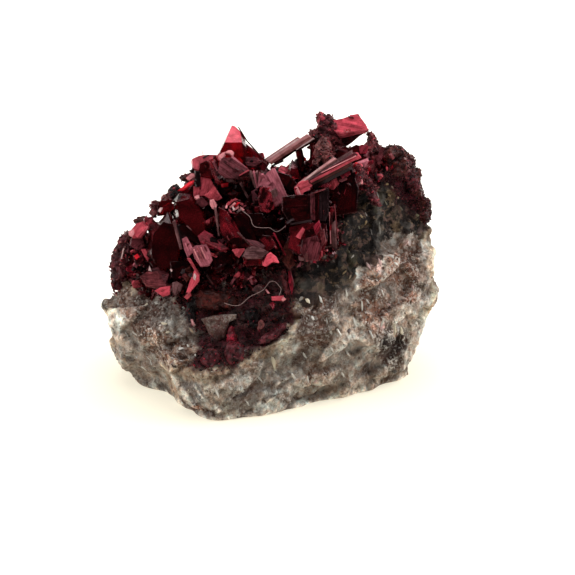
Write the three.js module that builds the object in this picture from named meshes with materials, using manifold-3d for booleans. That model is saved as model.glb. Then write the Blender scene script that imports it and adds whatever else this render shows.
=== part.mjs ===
// Erythrite on quartz: a thumbnail-size broken lump of grey quartz whose upper front face carries a druse of
// dark crimson, bladed erythrite crystals. Millimetres, +Z up. The origin is the middle of the flat cut
// on which the lump rests, +X runs to the lump's right and -Y faces the person looking at the druse.
import * as THREE from "three";
import { ConvexGeometry } from "three/addons/geometries/ConvexGeometry.js";
import { ConvexHull } from "three/addons/math/ConvexHull.js";
import { ImprovedNoise } from "three/addons/math/ImprovedNoise.js";
import { mergeVertices } from "three/addons/utils/BufferGeometryUtils.js";
import Module from "manifold-3d";

const wasm = await Module();
wasm.setup();

// ---------------------------------------------------------------- driving dimensions

const VIEW_TILT = THREE.MathUtils.degToRad(25); // the drawing plane leans back by this much
const GAP = 0.25; // left between a piece and what it grows on
const CRUST_THICKNESS = 0.75; // granular erythrite between the larger crystals
const CRUST_TAPER = 1.4; // the crust thins over this distance from its rim
const ROCK_DETAIL = 9; // subdivisions of the icosahedron that the lump is shaped from
const BEVELLED_FROM = 0.8; // crystals thinner than this keep square edges
const EDGE_SHARPNESS = 60; // how crisply the lump's broken faces meet

// ---------------------------------------------------------------- the drawing plane

// Places on the druse are given as [across, up] on a plane that faces a viewer who looks down by VIEW_TILT.
const DRAWING_UP = new THREE.Vector3(0, Math.sin(VIEW_TILT), Math.cos(VIEW_TILT));
const SIGHT = new THREE.Vector3(0, Math.cos(VIEW_TILT), -Math.sin(VIEW_TILT));
const SIGHT_REACH = 30;
const CREST_DEPTH = -4.2; // how far along the sight the crest of the lump stands

function onDrawing(across, up, depth) {
  return new THREE.Vector3(across, 0, 0).addScaledVector(DRAWING_UP, up).addScaledVector(SIGHT, depth);
}

// ---------------------------------------------------------------- the quartz lump

const ROCK_CENTRE = new THREE.Vector3(0, 1.5, 9);

// The corners between the lump's main broken faces.
const ROCK_CORNERS = [
  // the foot, which is cut flat at z = 0
  [-4.4, -8.6, -1.2],
  [2.6, -5.6, -1.2],
  [11.6, -0.4, -1.2],
  [9.5, 8.5, -1.2],
  [-6.5, 8.5, -1.2],
  [-8.4, -1.8, -1.0],
  // the belt above the foot
  [-11.4, -2.2, 0.9],
  [-14.2, 0.6, 0.9],
  [-14.6, 3.0, 2.4],
  [-15.2, 0.8, 4.6],
  [-15.2, 0.2, 7.0],
  [-10.6, -5.4, 6.2],
  [-6.2, -9.0, 4.0],
  [-7.0, -6.8, 0.4],
  [-4.8, -8.8, 1.2],
  [2.6, -6.8, 7.2],
  [7.0, -4.6, 6.8],
  [11.9, -0.6, 1.2],
  [13.6, 0.4, 4.6],
  [15.2, 1.6, 9.2],
  [14.0, 7.6, 7.5],
  [6.0, 11.8, 7.0],
  [-6.0, 11.4, 7.0],
  [-12.6, 7.4, 6.0],
  // the top, under the druse
  [14.8, 2.6, 13.4],
  [13.4, 3.4, 17.0],
  [11.8, 4.6, 18.7],
  [9.4, 3.8, 19.2],
  [6.6, -0.8, 17.0],
  [5.6, -3.4, 12.6],
  [6.0, 6.0, 19.2],
  [1.5, 5.6, 17.4],
  [-4.0, 5.2, 17.8],
  [-8.0, 4.6, 15.8],
  [-10.9, 3.2, 12.7],
  [-12.9, 1.8, 10.2],
  [11.5, 9.4, 15.0],
  [0.0, 11.0, 15.0],
  [-8.0, 9.0, 12.4],
].map((corner) => new THREE.Vector3(...corner));

// Hollows and swellings of the lump: where, how far across, and how deep (a swelling is negative).
const HOLLOWS = [
  { at: new THREE.Vector3(-2.4, -6.0, 7.4), reach: 3.2, depth: 2.4 },
  { at: new THREE.Vector3(-8.6, -4.6, 1.2), reach: 2.2, depth: 0.7 },
  { at: new THREE.Vector3(1.5, -3.4, 10.6), reach: 3.0, depth: 1.0 },
  { at: new THREE.Vector3(1.6, 5.0, 17.8), reach: 2.6, depth: 1.0 },
  { at: new THREE.Vector3(3.6, -7.0, 1.0), reach: 2.0, depth: 0.8 },
  { at: new THREE.Vector3(8.6, -0.6, 17.0), reach: 2.0, depth: 0.8 },
];

const hull = new ConvexHull().setFromPoints(ROCK_CORNERS);
const ROCK_FACES = hull.faces.map((face) => ({
  normal: face.normal.clone(),
  distance: face.constant - face.normal.dot(ROCK_CENTRE),
}));

// Distance from the centre to the lump's main faces, whose shared edges are a little worn.
function facetRadius(direction) {
  let closeness = 0;
  for (const { normal, distance } of ROCK_FACES) {
    const facing = normal.dot(direction);
    if (facing > 0) closeness += (facing / distance) ** EDGE_SHARPNESS;
  }
  return closeness ** (-1 / EDGE_SHARPNESS);
}

const perlin = new ImprovedNoise();

// Lumps and ledges of the break. The right face is drawn out in steep ribs.
function relief(place) {
  const lumps = 0.8 * perlin.noise(place.x / 4.4, place.y / 4.4, place.z / 4.4);
  const ribs = 0.5 * perlin.noise(place.x / 1.7 + 9, place.y / 2.1, place.z / 5.2);
  const knobs = 0.6 * perlin.noise(place.x / 2.0, place.y / 2.0 + 5, place.z / 2.0);
  return lumps + ribs + knobs;
}

function hollowDepth(place) {
  let depth = 0;
  for (const hollow of HOLLOWS) {
    depth += hollow.depth * Math.exp(-((place.distanceTo(hollow.at) / hollow.reach) ** 2));
  }
  return depth;
}

function rockRadius(direction) {
  const radius = facetRadius(direction);
  const place = direction.clone().multiplyScalar(radius).add(ROCK_CENTRE);
  return radius + relief(place) - hollowDepth(place);
}

// Where a line of sight first meets the lump, or the place above the crest where it passes clear of it.
function rockAlong(across, up) {
  const step = 0.1;
  for (let depth = -SIGHT_REACH; depth < SIGHT_REACH; depth += step) {
    const place = onDrawing(across, up, depth);
    const outward = place.clone().sub(ROCK_CENTRE);
    if (outward.length() < rockRadius(outward.clone().normalize())) return place;
  }
  return onDrawing(across, up, CREST_DEPTH);
}

// ---------------------------------------------------------------- solids

function solidFrom(geometry) {
  const bare = new THREE.BufferGeometry().setAttribute("position", geometry.getAttribute("position"));
  if (geometry.index) bare.setIndex(geometry.index);
  const merged = mergeVertices(bare, 1e-4);
  const mesh = new wasm.Mesh({
    numProp: 3,
    vertProperties: merged.attributes.position.array,
    triVerts: new Uint32Array(merged.index.array),
  });
  return new wasm.Manifold(mesh);
}

function geometryFrom(solid) {
  const mesh = solid.getMesh();
  const geometry = new THREE.BufferGeometry();
  geometry.setAttribute("position", new THREE.BufferAttribute(new Float32Array(mesh.vertProperties), 3));
  geometry.setIndex(new THREE.BufferAttribute(new Uint32Array(mesh.triVerts), 1));
  return geometry.toNonIndexed();
}

function joined(solids) {
  return wasm.Manifold.union(solids);
}

// The body that carries most of the volume. Crumbs that a cut leaves beside it are dropped.
function mainBody(solid) {
  return solid.decompose().reduce((a, b) => (b.volume() > a.volume() ? b : a));
}

// Unit directions and triangles of the ball that the lump and the crusts are shaped from.
const BALL = (() => {
  const ball = new THREE.IcosahedronGeometry(1, ROCK_DETAIL);
  ball.deleteAttribute("normal");
  ball.deleteAttribute("uv");
  const merged = mergeVertices(ball, 1e-4);
  const spots = merged.getAttribute("position");
  const directions = [];
  for (let i = 0; i < spots.count; i++) {
    directions.push(new THREE.Vector3().fromBufferAttribute(spots, i).normalize());
  }
  return { directions, triangles: Array.from(merged.index.array) };
})();

const ROCK_RADII = BALL.directions.map(rockRadius);

function rockSolid(grown) {
  const spots = BALL.directions.flatMap((direction, i) =>
    direction.clone().multiplyScalar(ROCK_RADII[i] + grown).add(ROCK_CENTRE).toArray(),
  );
  const geometry = new THREE.BufferGeometry();
  geometry.setAttribute("position", new THREE.Float32BufferAttribute(spots, 3));
  geometry.setIndex(BALL.triangles);
  return solidFrom(geometry);
}

const GROUND = (() => {
  const size = 60;
  return solidFrom(new THREE.BoxGeometry(size, size, size).translate(0, 0, -size / 2));
})();

// ---------------------------------------------------------------- crusts

function edgeDistance(rim, across, up) {
  let nearest = Infinity;
  let inside = false;
  for (let i = 0, j = rim.length - 1; i < rim.length; j = i++) {
    const [ax, ay] = rim[j];
    const [bx, by] = rim[i];
    if (by > up !== ay > up && across < ((ax - bx) * (up - by)) / (ay - by) + bx) inside = !inside;
    const along = ((across - ax) * (bx - ax) + (up - ay) * (by - ay)) / ((bx - ax) ** 2 + (by - ay) ** 2);
    const t = THREE.MathUtils.clamp(along, 0, 1);
    nearest = Math.min(nearest, Math.hypot(across - ax - t * (bx - ax), up - ay - t * (by - ay)));
  }
  return inside ? nearest : -nearest;
}

// How far inside a crust's rim a place on the lump lies; below 0 it is bare rock.
function insideCrust(crust, place) {
  const up = place.dot(DRAWING_UP);
  return Math.min(edgeDistance(crust.rim, place.x, up), crust.back - place.y);
}

// A crust follows the lump over the patch inside its rim. Grown, it is the space that others leave free.
function crustSolid(crust, grown) {
  const outer = [];
  const inner = [];
  const covered = BALL.directions.map((direction, i) => {
    const place = direction.clone().multiplyScalar(ROCK_RADII[i]).add(ROCK_CENTRE);
    const depth = insideCrust(crust, place) + grown;
    const bumps = 1 + 0.5 * perlin.noise(place.x / 1.6 + 3, place.y / 1.6, place.z / 1.6);
    const full = crust.thickness * bumps * THREE.MathUtils.clamp(0.3 + depth / CRUST_TAPER, 0, 1);
    const foot = ROCK_RADII[i] + GAP / 2;
    inner.push(direction.clone().multiplyScalar(foot).add(ROCK_CENTRE));
    outer.push(direction.clone().multiplyScalar(foot + GAP / 2 + full + grown).add(ROCK_CENTRE));
    return depth > 0;
  });
  const triangles = [];
  const sides = new Map();
  for (let t = 0; t < BALL.triangles.length; t += 3) {
    const corners = BALL.triangles.slice(t, t + 3);
    if (!corners.every((corner) => covered[corner])) continue;
    triangles.push(...corners, ...corners.map((corner) => corner + outer.length).reverse());
    for (let k = 0; k < 3; k++) {
      const from = corners[k];
      const to = corners[(k + 1) % 3];
      if (!sides.delete(to + "," + from)) sides.set(from + "," + to, [from, to]);
    }
  }
  for (const [from, to] of sides.values()) {
    triangles.push(to, from, from + outer.length, to, from + outer.length, to + outer.length);
  }
  const geometry = new THREE.BufferGeometry();
  geometry.setAttribute(
    "position",
    new THREE.Float32BufferAttribute([...outer, ...inner].flatMap((spot) => spot.toArray()), 3),
  );
  geometry.setIndex(triangles);
  return solidFrom(geometry.toNonIndexed());
}

// ---------------------------------------------------------------- crystals

// A tabular crystal: a plate with bevelled edges and a pointed or sloping end. root and along, across
// and through set it in place; apex is where the point stands, from -1 to 1 across the plate.
function bladeSolid({ root, along, across, through, length, width, thick, apex, slope }, grown) {
  const half = width / 2 + grown;
  const point = apex * half;
  const outline = [
    [-half, -grown],
    [half, -grown],
    [half, length + grown - slope * (half - point)],
    [point, length + grown],
    [-half, length + grown - slope * (half + point)],
  ];
  const bevel = 1 - Math.min(0.3, thick / width / 2);
  const levels = thick < BEVELLED_FROM ? [[-1, 1], [1, 1]] : [[-1, bevel], [0, 1], [1, bevel]];
  const middle = length / 2;
  const spots = [];
  for (const [sideways, lengthways] of outline) {
    for (const [level, inset] of levels) {
      const spot = root.clone();
      spot.addScaledVector(across, sideways * inset);
      spot.addScaledVector(along, middle + (lengthways - middle) * (inset + 1) * 0.5);
      spot.addScaledVector(through, level * (thick / 2 + grown));
      spots.push(spot);
    }
  }
  return solidFrom(new ConvexGeometry(spots));
}

// Sets a crystal's axes: turn 0 shows its broad face to the viewer, turn 90 its edge.
function placedBlade(root, tip, turn, shape) {
  const along = tip.clone().sub(root);
  const length = along.length();
  along.normalize();
  const facing = SIGHT.clone().negate();
  const through = facing.addScaledVector(along, -facing.dot(along)).normalize();
  through.applyAxisAngle(along, THREE.MathUtils.degToRad(turn));
  const across = new THREE.Vector3().crossVectors(through, along);
  return { root, along, across, through, length, ...shape };
}

// A measured crystal, from its row of sizes. Laths beside each other make a striated bundle.
function measuredBlades(row) {
  const root = rockAlong(...row.root);
  const depth = root.dot(SIGHT);
  const tip = onDrawing(...row.tip, depth - row.forward);
  const laths = row.laths ?? 1;
  const blades = [];
  for (let i = 0; i < laths; i++) {
    const blade = placedBlade(root.clone(), tip.clone(), row.turn, {
      width: row.width,
      thick: row.thick,
      apex: row.apex ?? 0.3,
      slope: row.slope ?? 0.6,
    });
    const shift = i - (laths - 1) / 2;
    blade.root.addScaledVector(blade.through, shift * row.thick * 0.85);
    blade.root.addScaledVector(blade.across, 0.12 * row.width * Math.sin(2.6 * i));
    blade.length *= 1 - 0.14 * Math.abs(Math.sin(1.9 * i + 0.6));
    blades.push(blade);
  }
  return blades;
}

// A repeatable run of numbers from 0 to 1.
function randomRun(seed) {
  let state = seed;
  return () => {
    state = (state + 0x6d2b79f5) | 0;
    let t = Math.imul(state ^ (state >>> 15), 1 | state);
    t = (t + Math.imul(t ^ (t >>> 7), 61 | t)) ^ t;
    return ((t ^ (t >>> 14)) >>> 0) / 4294967296;
  };
}

// Smaller crystals that stand all over a crust, leaning every way.
function scatteredBlades(crust) {
  const random = randomRun(crust.seed);
  const blades = [];
  let tries = 0;
  while (blades.length < crust.count && tries++ < 20000) {
    const direction = new THREE.Vector3(random() - 0.5, random() - 0.5, random() - 0.5).normalize();
    const root = direction.clone().multiplyScalar(rockRadius(direction) + GAP).add(ROCK_CENTRE);
    if (insideCrust(crust, root) < 0.5 || root.z < 2) continue;
    const lean = new THREE.Vector3(random() - 0.5, random() - 0.5, random() - 0.5);
    const along = direction.clone().addScaledVector(lean, 1.5).normalize();
    const size = crust.crystal * (0.6 + 0.8 * random());
    const tip = root.clone().addScaledVector(along, size);
    if (edgeDistance(crust.rim, tip.x, tip.dot(DRAWING_UP)) < 0.3) continue;
    const blade = placedBlade(root, tip, 360 * random(), {
      width: size * (0.32 + 0.3 * random()),
      thick: size * (0.14 + 0.1 * random()),
      apex: 1.6 * (random() - 0.5),
      slope: 0.4 + 0.6 * random(),
    });
    blades.push(blade);
  }
  return blades;
}

// ---------------------------------------------------------------- the erythrite

const DRUSE = {
  rim: [
    [-13.9, 7.4], [-12.5, 8.9], [-10.6, 7.4], [-8.7, 7.3], [-7.3, 6.5], [-6.6, 7.2], [-4.9, 8.1],
    [-2.7, 7.4], [-1.1, 8.2], [0.8, 10.0], [2.6, 9.8], [5.2, 10.3], [5.9, 11.6], [6.0, 14.7],
    [6.6, 15.5], [7.6, 16.2], [9.2, 16.8], [10.4, 17.8], [10.6, 20.6], [9.3, 22.2], [7.7, 23.5],
    [4.2, 23.6], [4.2, 21.6], [-1.1, 19.6], [-3.3, 22.4], [-4.9, 19.9], [-6.9, 19.5], [-8.0, 18.2],
    [-9.3, 16.4], [-10.3, 15.8], [-11.5, 14.4], [-12.6, 13.3], [-13.9, 11.8], [-14.3, 9.3],
  ],
  back: 8.5,
  thickness: CRUST_THICKNESS,
  count: 34,
  crystal: 2.1,
  seed: 11,
};

const POCKET = {
  rim: [
    [-8.3, 7.4], [-7.6, 5.6], [-6.2, 4.2], [-6.0, 2.8], [-6.6, 1.4], [-6.2, 0.3], [-3.9, -0.0],
    [-2.0, 1.7], [-0.4, 2.8], [1.4, 4.0], [2.4, 5.6], [2.1, 8.1], [1.6, 10.5], [-0.9, 9.1],
    [-2.7, 8.2], [-4.9, 8.8], [-6.6, 7.9],
  ],
  back: 3,
  thickness: 0.55,
  count: 8,
  crystal: 1.3,
  seed: 5,
};

const SHOULDER = {
  rim: [
    [10.2, 17.6], [10.1, 19.5], [10.3, 20.7], [11.6, 21.1], [12.9, 19.8], [13.8, 17.6],
    [14.3, 15.6], [14.3, 14.2], [13.5, 14.2], [12.1, 14.9], [10.9, 15.6],
  ],
  back: 8,
  thickness: 0.9,
  count: 16,
  crystal: 1.6,
  seed: 23,
};

// The crystals that stand out of the druse: [across, up] of root and tip, how far the tip comes toward
// the viewer, width, thickness, turn, laths in the bundle, and where the point stands and how steep it is.
const STANDING = [
  [[-2.9, 17.9], [-3.4, 22.5], 0.4, 4.0, 0.88, 8, 1, -0.1, 1.4], // the peak
  [[-0.7, 18.1], [-2.1, 20.9], 0.2, 2.3, 0.7, 35, 1, -0.6, 1.1], // its right flank
  [[-2.7, 17.2], [-4.1, 19.8], 0.9, 2.1, 0.7, 10, 1, 0.5, 0.7], // mauve plate before the peak
  [[-5.0, 17.4], [-6.6, 19.9], 0.5, 2.3, 1.06, 25, 1, -0.5, 0.5], // left shoulder of the peak
  [[-6.4, 16.5], [-8.2, 17.2], 0.4, 1.1, 0.3, 20, 1, 0.6, 0.8], // thin red sliver
  [[-5.7, 15.5], [-6.2, 18.1], 1.0, 1.2, 0.44, 10, 1, -0.2, 0.6], // two-lobed plate, left
  [[-5.0, 15.5], [-5.3, 17.9], 1.2, 1.3, 0.44, 15, 1, -0.5, 1.2], // two-lobed plate, right
  [[-6.2, 12.5], [-7.3, 16.4], 1.4, 3.2, 1.14, -12, 1, 0.1, 0.5], // rounded dark crystal
  [[-1.1, 16.2], [-1.6, 19.0], 0.9, 0.9, 0.3, 60, 3, 0.0, 0.5], // grey fan
  [[0.9, 14.7], [0.1, 18.8], 1.2, 1.9, 0.53, 20, 1, -0.2, 1.0], // lavender plate
  [[-1.3, 19.0], [4.4, 21.9], 0.3, 1.1, 0.3, 72, 4, 0.2, 0.5], // back sheaf
  [[2.1, 16.7], [7.8, 20.1], 2.2, 1.3, 0.32, 66, 4, 0.4, 0.6], // front sheaf
  [[3.4, 16.2], [1.7, 17.4], 0.9, 1.2, 0.53, 15, 1, 0.2, 0.4], // pink end of the front sheaf
  [[5.4, 21.4], [8.5, 23.1], 0.6, 1.9, 0.62, 10, 1, 0.6, 0.5], // crest plate
  [[5.3, 20.4], [4.4, 23.7], 0.2, 1.0, 0.79, 10, 1, 0.0, 0.4], // stub beside the crest plate
  [[5.9, 20.7], [5.2, 23.6], 0.2, 0.8, 0.62, 30, 1, 0.0, 0.4], // second stub
  [[5.1, 20.4], [3.7, 22.1], 0.3, 0.8, 0.62, 0, 1, 0.0, 0.4], // low stub
  [[4.8, 18.1], [4.6, 21.8], 0.6, 1.8, 1.06, 10, 1, 0.0, 1.6], // spire
  [[9.5, 18.3], [8.8, 21.9], 0.0, 0.8, 0.7, 40, 1, 0.2, 0.4], // ridge post
  [[7.7, 16.7], [7.5, 19.2], 0.8, 1.0, 0.7, 0, 1, 0.0, 0.5], // pink trickle
  [[4.4, 13.3], [4.5, 17.0], 1.8, 1.8, 0.45, 22, 3, 0.2, 0.3], // ribbed block
  [[2.6, 13.5], [2.2, 16.5], 1.6, 3.2, 1.23, 5, 1, 0.5, 0.3], // broad dark crystal
  [[2.1, 17.0], [2.0, 19.3], 0.2, 1.1, 0.7, 0, 1, 0.0, 1.6], // spike
  [[1.4, 17.4], [1.2, 18.9], 0.3, 0.9, 0.53, 0, 1, 0.0, 0.6], // pink stub
  [[3.5, 10.4], [3.7, 14.1], 1.6, 3.2, 1.1, -12, 1, 0.3, 0.4], // red window
  [[5.7, 11.1], [5.6, 15.3], 1.0, 0.7, 0.3, 55, 2, 0.2, 0.5], // edge blades
  [[-8.8, 10.5], [-9.1, 14.8], 1.4, 3.0, 1.23, 10, 1, -0.1, 0.9], // dark tabular, left
  [[-8.5, 15.1], [-9.5, 16.5], 0.2, 1.0, 0.7, 0, 1, 0.0, 0.6], // left knob
  [[-9.5, 14.6], [-10.5, 15.9], 0.2, 1.0, 0.7, 20, 1, 0.0, 0.8], // left tooth
  [[-10.6, 12.6], [-11.7, 14.5], 0.5, 1.8, 0.97, 15, 1, 0.2, 0.5], // upper left block
  [[-12.1, 11.2], [-13.2, 12.8], 0.4, 1.4, 0.88, 0, 1, 0.2, 0.5], // outer left block
  [[-6.9, 10.3], [-7.7, 12.6], 1.4, 0.8, 0.26, 15, 1, -0.5, 1.0], // lilac splinter
  [[-5.5, 9.3], [-6.5, 12.5], 1.6, 1.2, 0.35, 35, 3, -0.2, 0.5], // striped plates
  [[-3.9, 11.1], [-6.4, 13.4], 1.6, 1.4, 0.53, 20, 1, 0.3, 0.8], // magenta plate
  [[-6.7, 6.8], [-6.6, 9.6], 1.2, 1.0, 0.35, 15, 1, 0.2, 1.3], // pink blade
  [[-8.7, 8.1], [-11.7, 9.7], 0.8, 1.3, 0.53, 10, 1, 0.3, 0.5], // reddish slab
  [[-8.2, 7.9], [-10.3, 8.0], 0.8, 0.9, 0.53, 20, 1, 0.3, 0.3], // pink corner
  [[-2.1, 10.3], [-3.5, 11.9], 1.2, 1.1, 0.53, 25, 1, 0.2, 0.7], // small facets
  [[0.0, 10.9], [-2.3, 11.2], 1.4, 0.9, 0.35, 12, 1, 0.2, 0.3], // grey lilac lath
  [[0.9, 10.0], [-0.7, 11.0], 1.2, 1.1, 0.7, 10, 1, 0.2, 0.5], // bright lump
  [[-2.8, 14.0], [-3.6, 16.0], 1.4, 1.1, 0.53, 35, 2, 0.2, 0.8], // glittering tuft
  [[-4.2, 12.5], [-5.1, 15.7], 1.6, 0.5, 0.21, 30, 1, 0.2, 0.8], // thin upright
  [[-2.4, 15.3], [-3.4, 17.7], 0.9, 2.5, 0.97, 20, 1, 0.2, 0.9], // dark wedge
  [[0.2, 11.8], [-0.2, 15.5], 1.4, 2.5, 1.06, -20, 1, 0.2, 0.5], // dark block, middle
  [[-2.2, 11.8], [-3.0, 14.7], 1.6, 2.6, 1.06, 30, 1, -0.2, 0.6], // dark slab, middle
  [[6.4, 15.3], [6.2, 18.6], 0.6, 1.6, 1.0, 40, 1, 0.2, 0.5], // dark block, right
  [[-10.4, 10.0], [-11.5, 12.5], 0.9, 1.9, 1.06, 30, 1, 0.2, 0.6], // left wall block
  [[-10.6, 8.1], [-12.5, 10.5], 0.6, 1.6, 0.88, 10, 1, 0.1, 0.5], // lower left block
  [[-3.4, 8.1], [-4.3, 11.1], 1.4, 2.3, 0.88, -30, 1, 0.2, 0.5], // middle slab
  [[1.7, 9.8], [0.9, 13.2], 1.2, 1.6, 0.7, 30, 1, 0.1, 0.6], // mid right slab
].map(([root, tip, forward, width, thick, turn, laths, apex, slope]) => (
  { root, tip, forward, width, thick, turn, laths, apex, slope }
));

// ---------------------------------------------------------------- the nodes

const grownRock = rockSolid(GAP);
const nodes = [];

function addNode(name, solid, color, roughness) {
  const material = new THREE.MeshStandardMaterial({ color, roughness, metalness: 0 });
  const geometry = geometryFrom(solid);
  geometry.computeVertexNormals();
  const mesh = new THREE.Mesh(geometry, material);
  mesh.name = name;
  nodes.push(mesh);
}

function grownTogether(crust, blades) {
  const grown = joined([crustSolid(crust, 0), ...blades.map((blade) => bladeSolid(blade, 0))]);
  return grown.subtract(grownRock);
}

addNode("quartz_matrix", rockSolid(0).subtract(GROUND), 0x9c9894, 0.6);

const druseBlades = [...STANDING.flatMap(measuredBlades), ...scatteredBlades(DRUSE)];
const shoulderBlades = scatteredBlades(SHOULDER);
const druseSpace = joined([crustSolid(DRUSE, GAP), ...druseBlades.map((blade) => bladeSolid(blade, GAP))]);

addNode("erythrite_druse", mainBody(grownTogether(DRUSE, druseBlades)), 0x7a1238, 0.25);
addNode(
  "erythrite_shoulder_crust",
  mainBody(grownTogether(SHOULDER, shoulderBlades).subtract(druseSpace)),
  0x5a1830,
  0.45,
);
addNode(
  "erythrite_pocket_crust",
  mainBody(grownTogether(POCKET, scatteredBlades(POCKET)).subtract(druseSpace)),
  0x5c1c2a,
  0.5,
);

const part = new THREE.Group();
part.name = "erythrite_on_quartz";
part.add(...nodes);

export default part;
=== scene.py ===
import math
import random

import bmesh
import bpy
import numpy as np
from mathutils import Matrix, Vector, noise
from mathutils.bvhtree import BVHTree
from mathutils.kdtree import KDTree


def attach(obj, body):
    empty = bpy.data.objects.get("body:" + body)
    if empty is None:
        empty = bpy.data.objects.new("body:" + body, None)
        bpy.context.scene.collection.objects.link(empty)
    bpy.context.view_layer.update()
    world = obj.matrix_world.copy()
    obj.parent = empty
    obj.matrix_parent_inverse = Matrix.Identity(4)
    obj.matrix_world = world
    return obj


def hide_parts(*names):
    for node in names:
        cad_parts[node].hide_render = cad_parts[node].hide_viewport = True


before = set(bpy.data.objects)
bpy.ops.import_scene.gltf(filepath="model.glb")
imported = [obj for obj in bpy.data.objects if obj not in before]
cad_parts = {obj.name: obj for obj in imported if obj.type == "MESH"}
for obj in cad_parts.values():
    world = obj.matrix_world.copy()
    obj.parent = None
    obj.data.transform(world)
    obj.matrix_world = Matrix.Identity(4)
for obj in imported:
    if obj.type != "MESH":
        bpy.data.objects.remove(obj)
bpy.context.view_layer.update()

# ----------------------------------------
# The view. A small specimen on a table, seen from a little above its front through a long lens.
# The drawing plane faces that view: places on the druse are given on it, across and up, in mm.

MM = 0.001
LEAN = math.radians(25)  # how far the drawing plane leans back
DRAWING_UP = Vector((0, math.sin(LEAN), math.cos(LEAN)))
SIGHT = Vector((0, math.cos(LEAN), -math.sin(LEAN)))
EYE_DISTANCE = 200
AIM = (1.5, 8.16)  # the middle of the view, across and up
LENS = 142.3


def on_drawing(across, up, depth=0.0):
    """A place in mm from its place on the drawing plane and its depth behind it."""
    return Vector((across, 0, 0)) + DRAWING_UP * up + SIGHT * depth


def in_scene(name, data):
    """A new object of the scene with its camera, lamp or mesh."""
    made = bpy.data.objects.new(name, data)
    bpy.context.scene.collection.objects.link(made)
    return made


camera = in_scene("camera", bpy.data.cameras.new("camera"))
camera.data.lens = LENS
camera.data.clip_start = 0.01
camera.data.clip_end = 10
camera.location = on_drawing(0, 0, -EYE_DISTANCE) * MM
toward = on_drawing(*AIM) * MM - camera.location
camera.rotation_euler = toward.to_track_quat("-Z", "Y").to_euler()
bpy.context.scene.camera = camera

# ----------------------------------------
# The table and the light. A pale sheet, faintly lit from below, with a cream tone painted around the
# specimen as its soft shadow, under one broad soft light overhead and one at each side.

FLOOR_SIZE = 1.6
PAINTED_SHADOW_TONE, PLAIN_PAPER = (0.44, 0.41, 0.33), (0.60, 0.595, 0.58)
PAINTED_SHADOW_FROM, PAINTED_SHADOW_TO = 0.012, 0.034  # the painted shadow fades out between these distances from the middle
ROOM_LIGHT = 0.16
LIT_PLACE = Vector((0, 0, 0.01))


def nodes_of(material):
    """Turns a material's nodes on and returns its tree, its shader and its output."""
    material.use_nodes = True
    tree = material.node_tree
    return tree, tree.nodes["Principled BSDF"], tree.nodes["Material Output"]


def node(kind, **values):
    """A new node in the tree that is being built, with its inputs or settings by name."""
    made = tree.nodes.new(kind)
    for key, value in values.items():
        if key in made.inputs:
            made.inputs[key].default_value = value
        else:
            setattr(made, key, value)
    return made


def link(source, target):
    tree.links.new(source, target)


def feed(socket, value):
    """Links a node's output to a socket, or sets the socket to a plain colour or number."""
    if isinstance(value, bpy.types.NodeSocket):
        link(value, socket)
    elif isinstance(value, tuple):
        socket.default_value = (*value, 1)
    else:
        socket.default_value = value


def colour_mix(below, above, amount, blend="MIX"):
    mix = node("ShaderNodeMix", data_type="RGBA", blend_type=blend)
    feed(mix.inputs[0], amount)
    feed(mix.inputs[6], below)
    feed(mix.inputs[7], above)
    return mix.outputs[2]


def set_sockets(shader, values):
    for name, value in values.items():
        shader.inputs[name].default_value = value


half = FLOOR_SIZE / 2
floor_sheet = bpy.data.meshes.new("floor")
floor_sheet.from_pydata(
    [(-half, -half, 0), (half, -half, 0), (half, half, 0), (-half, half, 0)], [], [(0, 1, 2, 3)]
)
floor = in_scene("floor", floor_sheet)
paper = bpy.data.materials.new("paper with painted shadow")
tree, shader, _ = nodes_of(paper)
distance = node("ShaderNodeVectorMath", operation="LENGTH")
link(node("ShaderNodeTexCoord").outputs["Object"], distance.inputs[0])
out_of_painted_shadow = node("ShaderNodeMapRange", interpolation_type="SMOOTHSTEP")
out_of_painted_shadow.inputs["From Min"].default_value = PAINTED_SHADOW_FROM
out_of_painted_shadow.inputs["From Max"].default_value = PAINTED_SHADOW_TO
link(distance.outputs["Value"], out_of_painted_shadow.inputs["Value"])
# Painted shadow: the paper is cream near the middle, where the specimen stands, and plain further out.
link(colour_mix(PAINTED_SHADOW_TONE, PLAIN_PAPER, out_of_painted_shadow.outputs["Result"]), shader.inputs["Base Color"])
set_sockets(
    shader, {"Roughness": 0.9, "Emission Color": (1.0, 0.94, 0.78, 1), "Emission Strength": 0.62}
)
floor_sheet.materials.append(paper)

world = bpy.data.worlds.new("dim room")
world.use_nodes = True
room = world.node_tree.nodes["Background"]
set_sockets(room, {"Color": (1, 1, 1, 1), "Strength": ROOM_LIGHT})
bpy.context.scene.world = world
bpy.context.scene.view_settings.view_transform = "Standard"


def softbox(name, place, size, power):
    """A square soft light at a place in metres, turned to the specimen."""
    light = bpy.data.lights.new(name, "AREA")
    light.size = size
    light.energy = power
    lamp = in_scene(name, light)
    lamp.location = place
    lamp.rotation_euler = (LIT_PLACE - Vector(place)).to_track_quat("-Z", "Y").to_euler()


softbox("overhead light", (0.03, 0.10, 0.45), 0.70, 4.3)
softbox("left light", (-0.42, -0.06, 0.22), 0.34, 1.6)
softbox("right light", (0.40, 0.06, 0.22), 0.34, 2.0)

# ----------------------------------------
# The quartz lump. Massive granular quartz broken off a vein: grey and milky grains, dark where
# it is stained next to the erythrite, with pale needles, and painted shade that blackens small pits
# and darkens where the surface sinks in. It is one piece.

GRAIN_SPACING = 0.19  # distance between the mesh's points
LUMP_SOFTENING = 6  # rounds of smoothing that take the flats' edges off
BEDDING = math.radians(28)  # how far the ledges of the break dip to the side
BEDDING_STRETCH = (0.45, 1, 1.5)
FOOT_EDGE = 0.5  # the roughness fades out over this height above the flat foot

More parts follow.
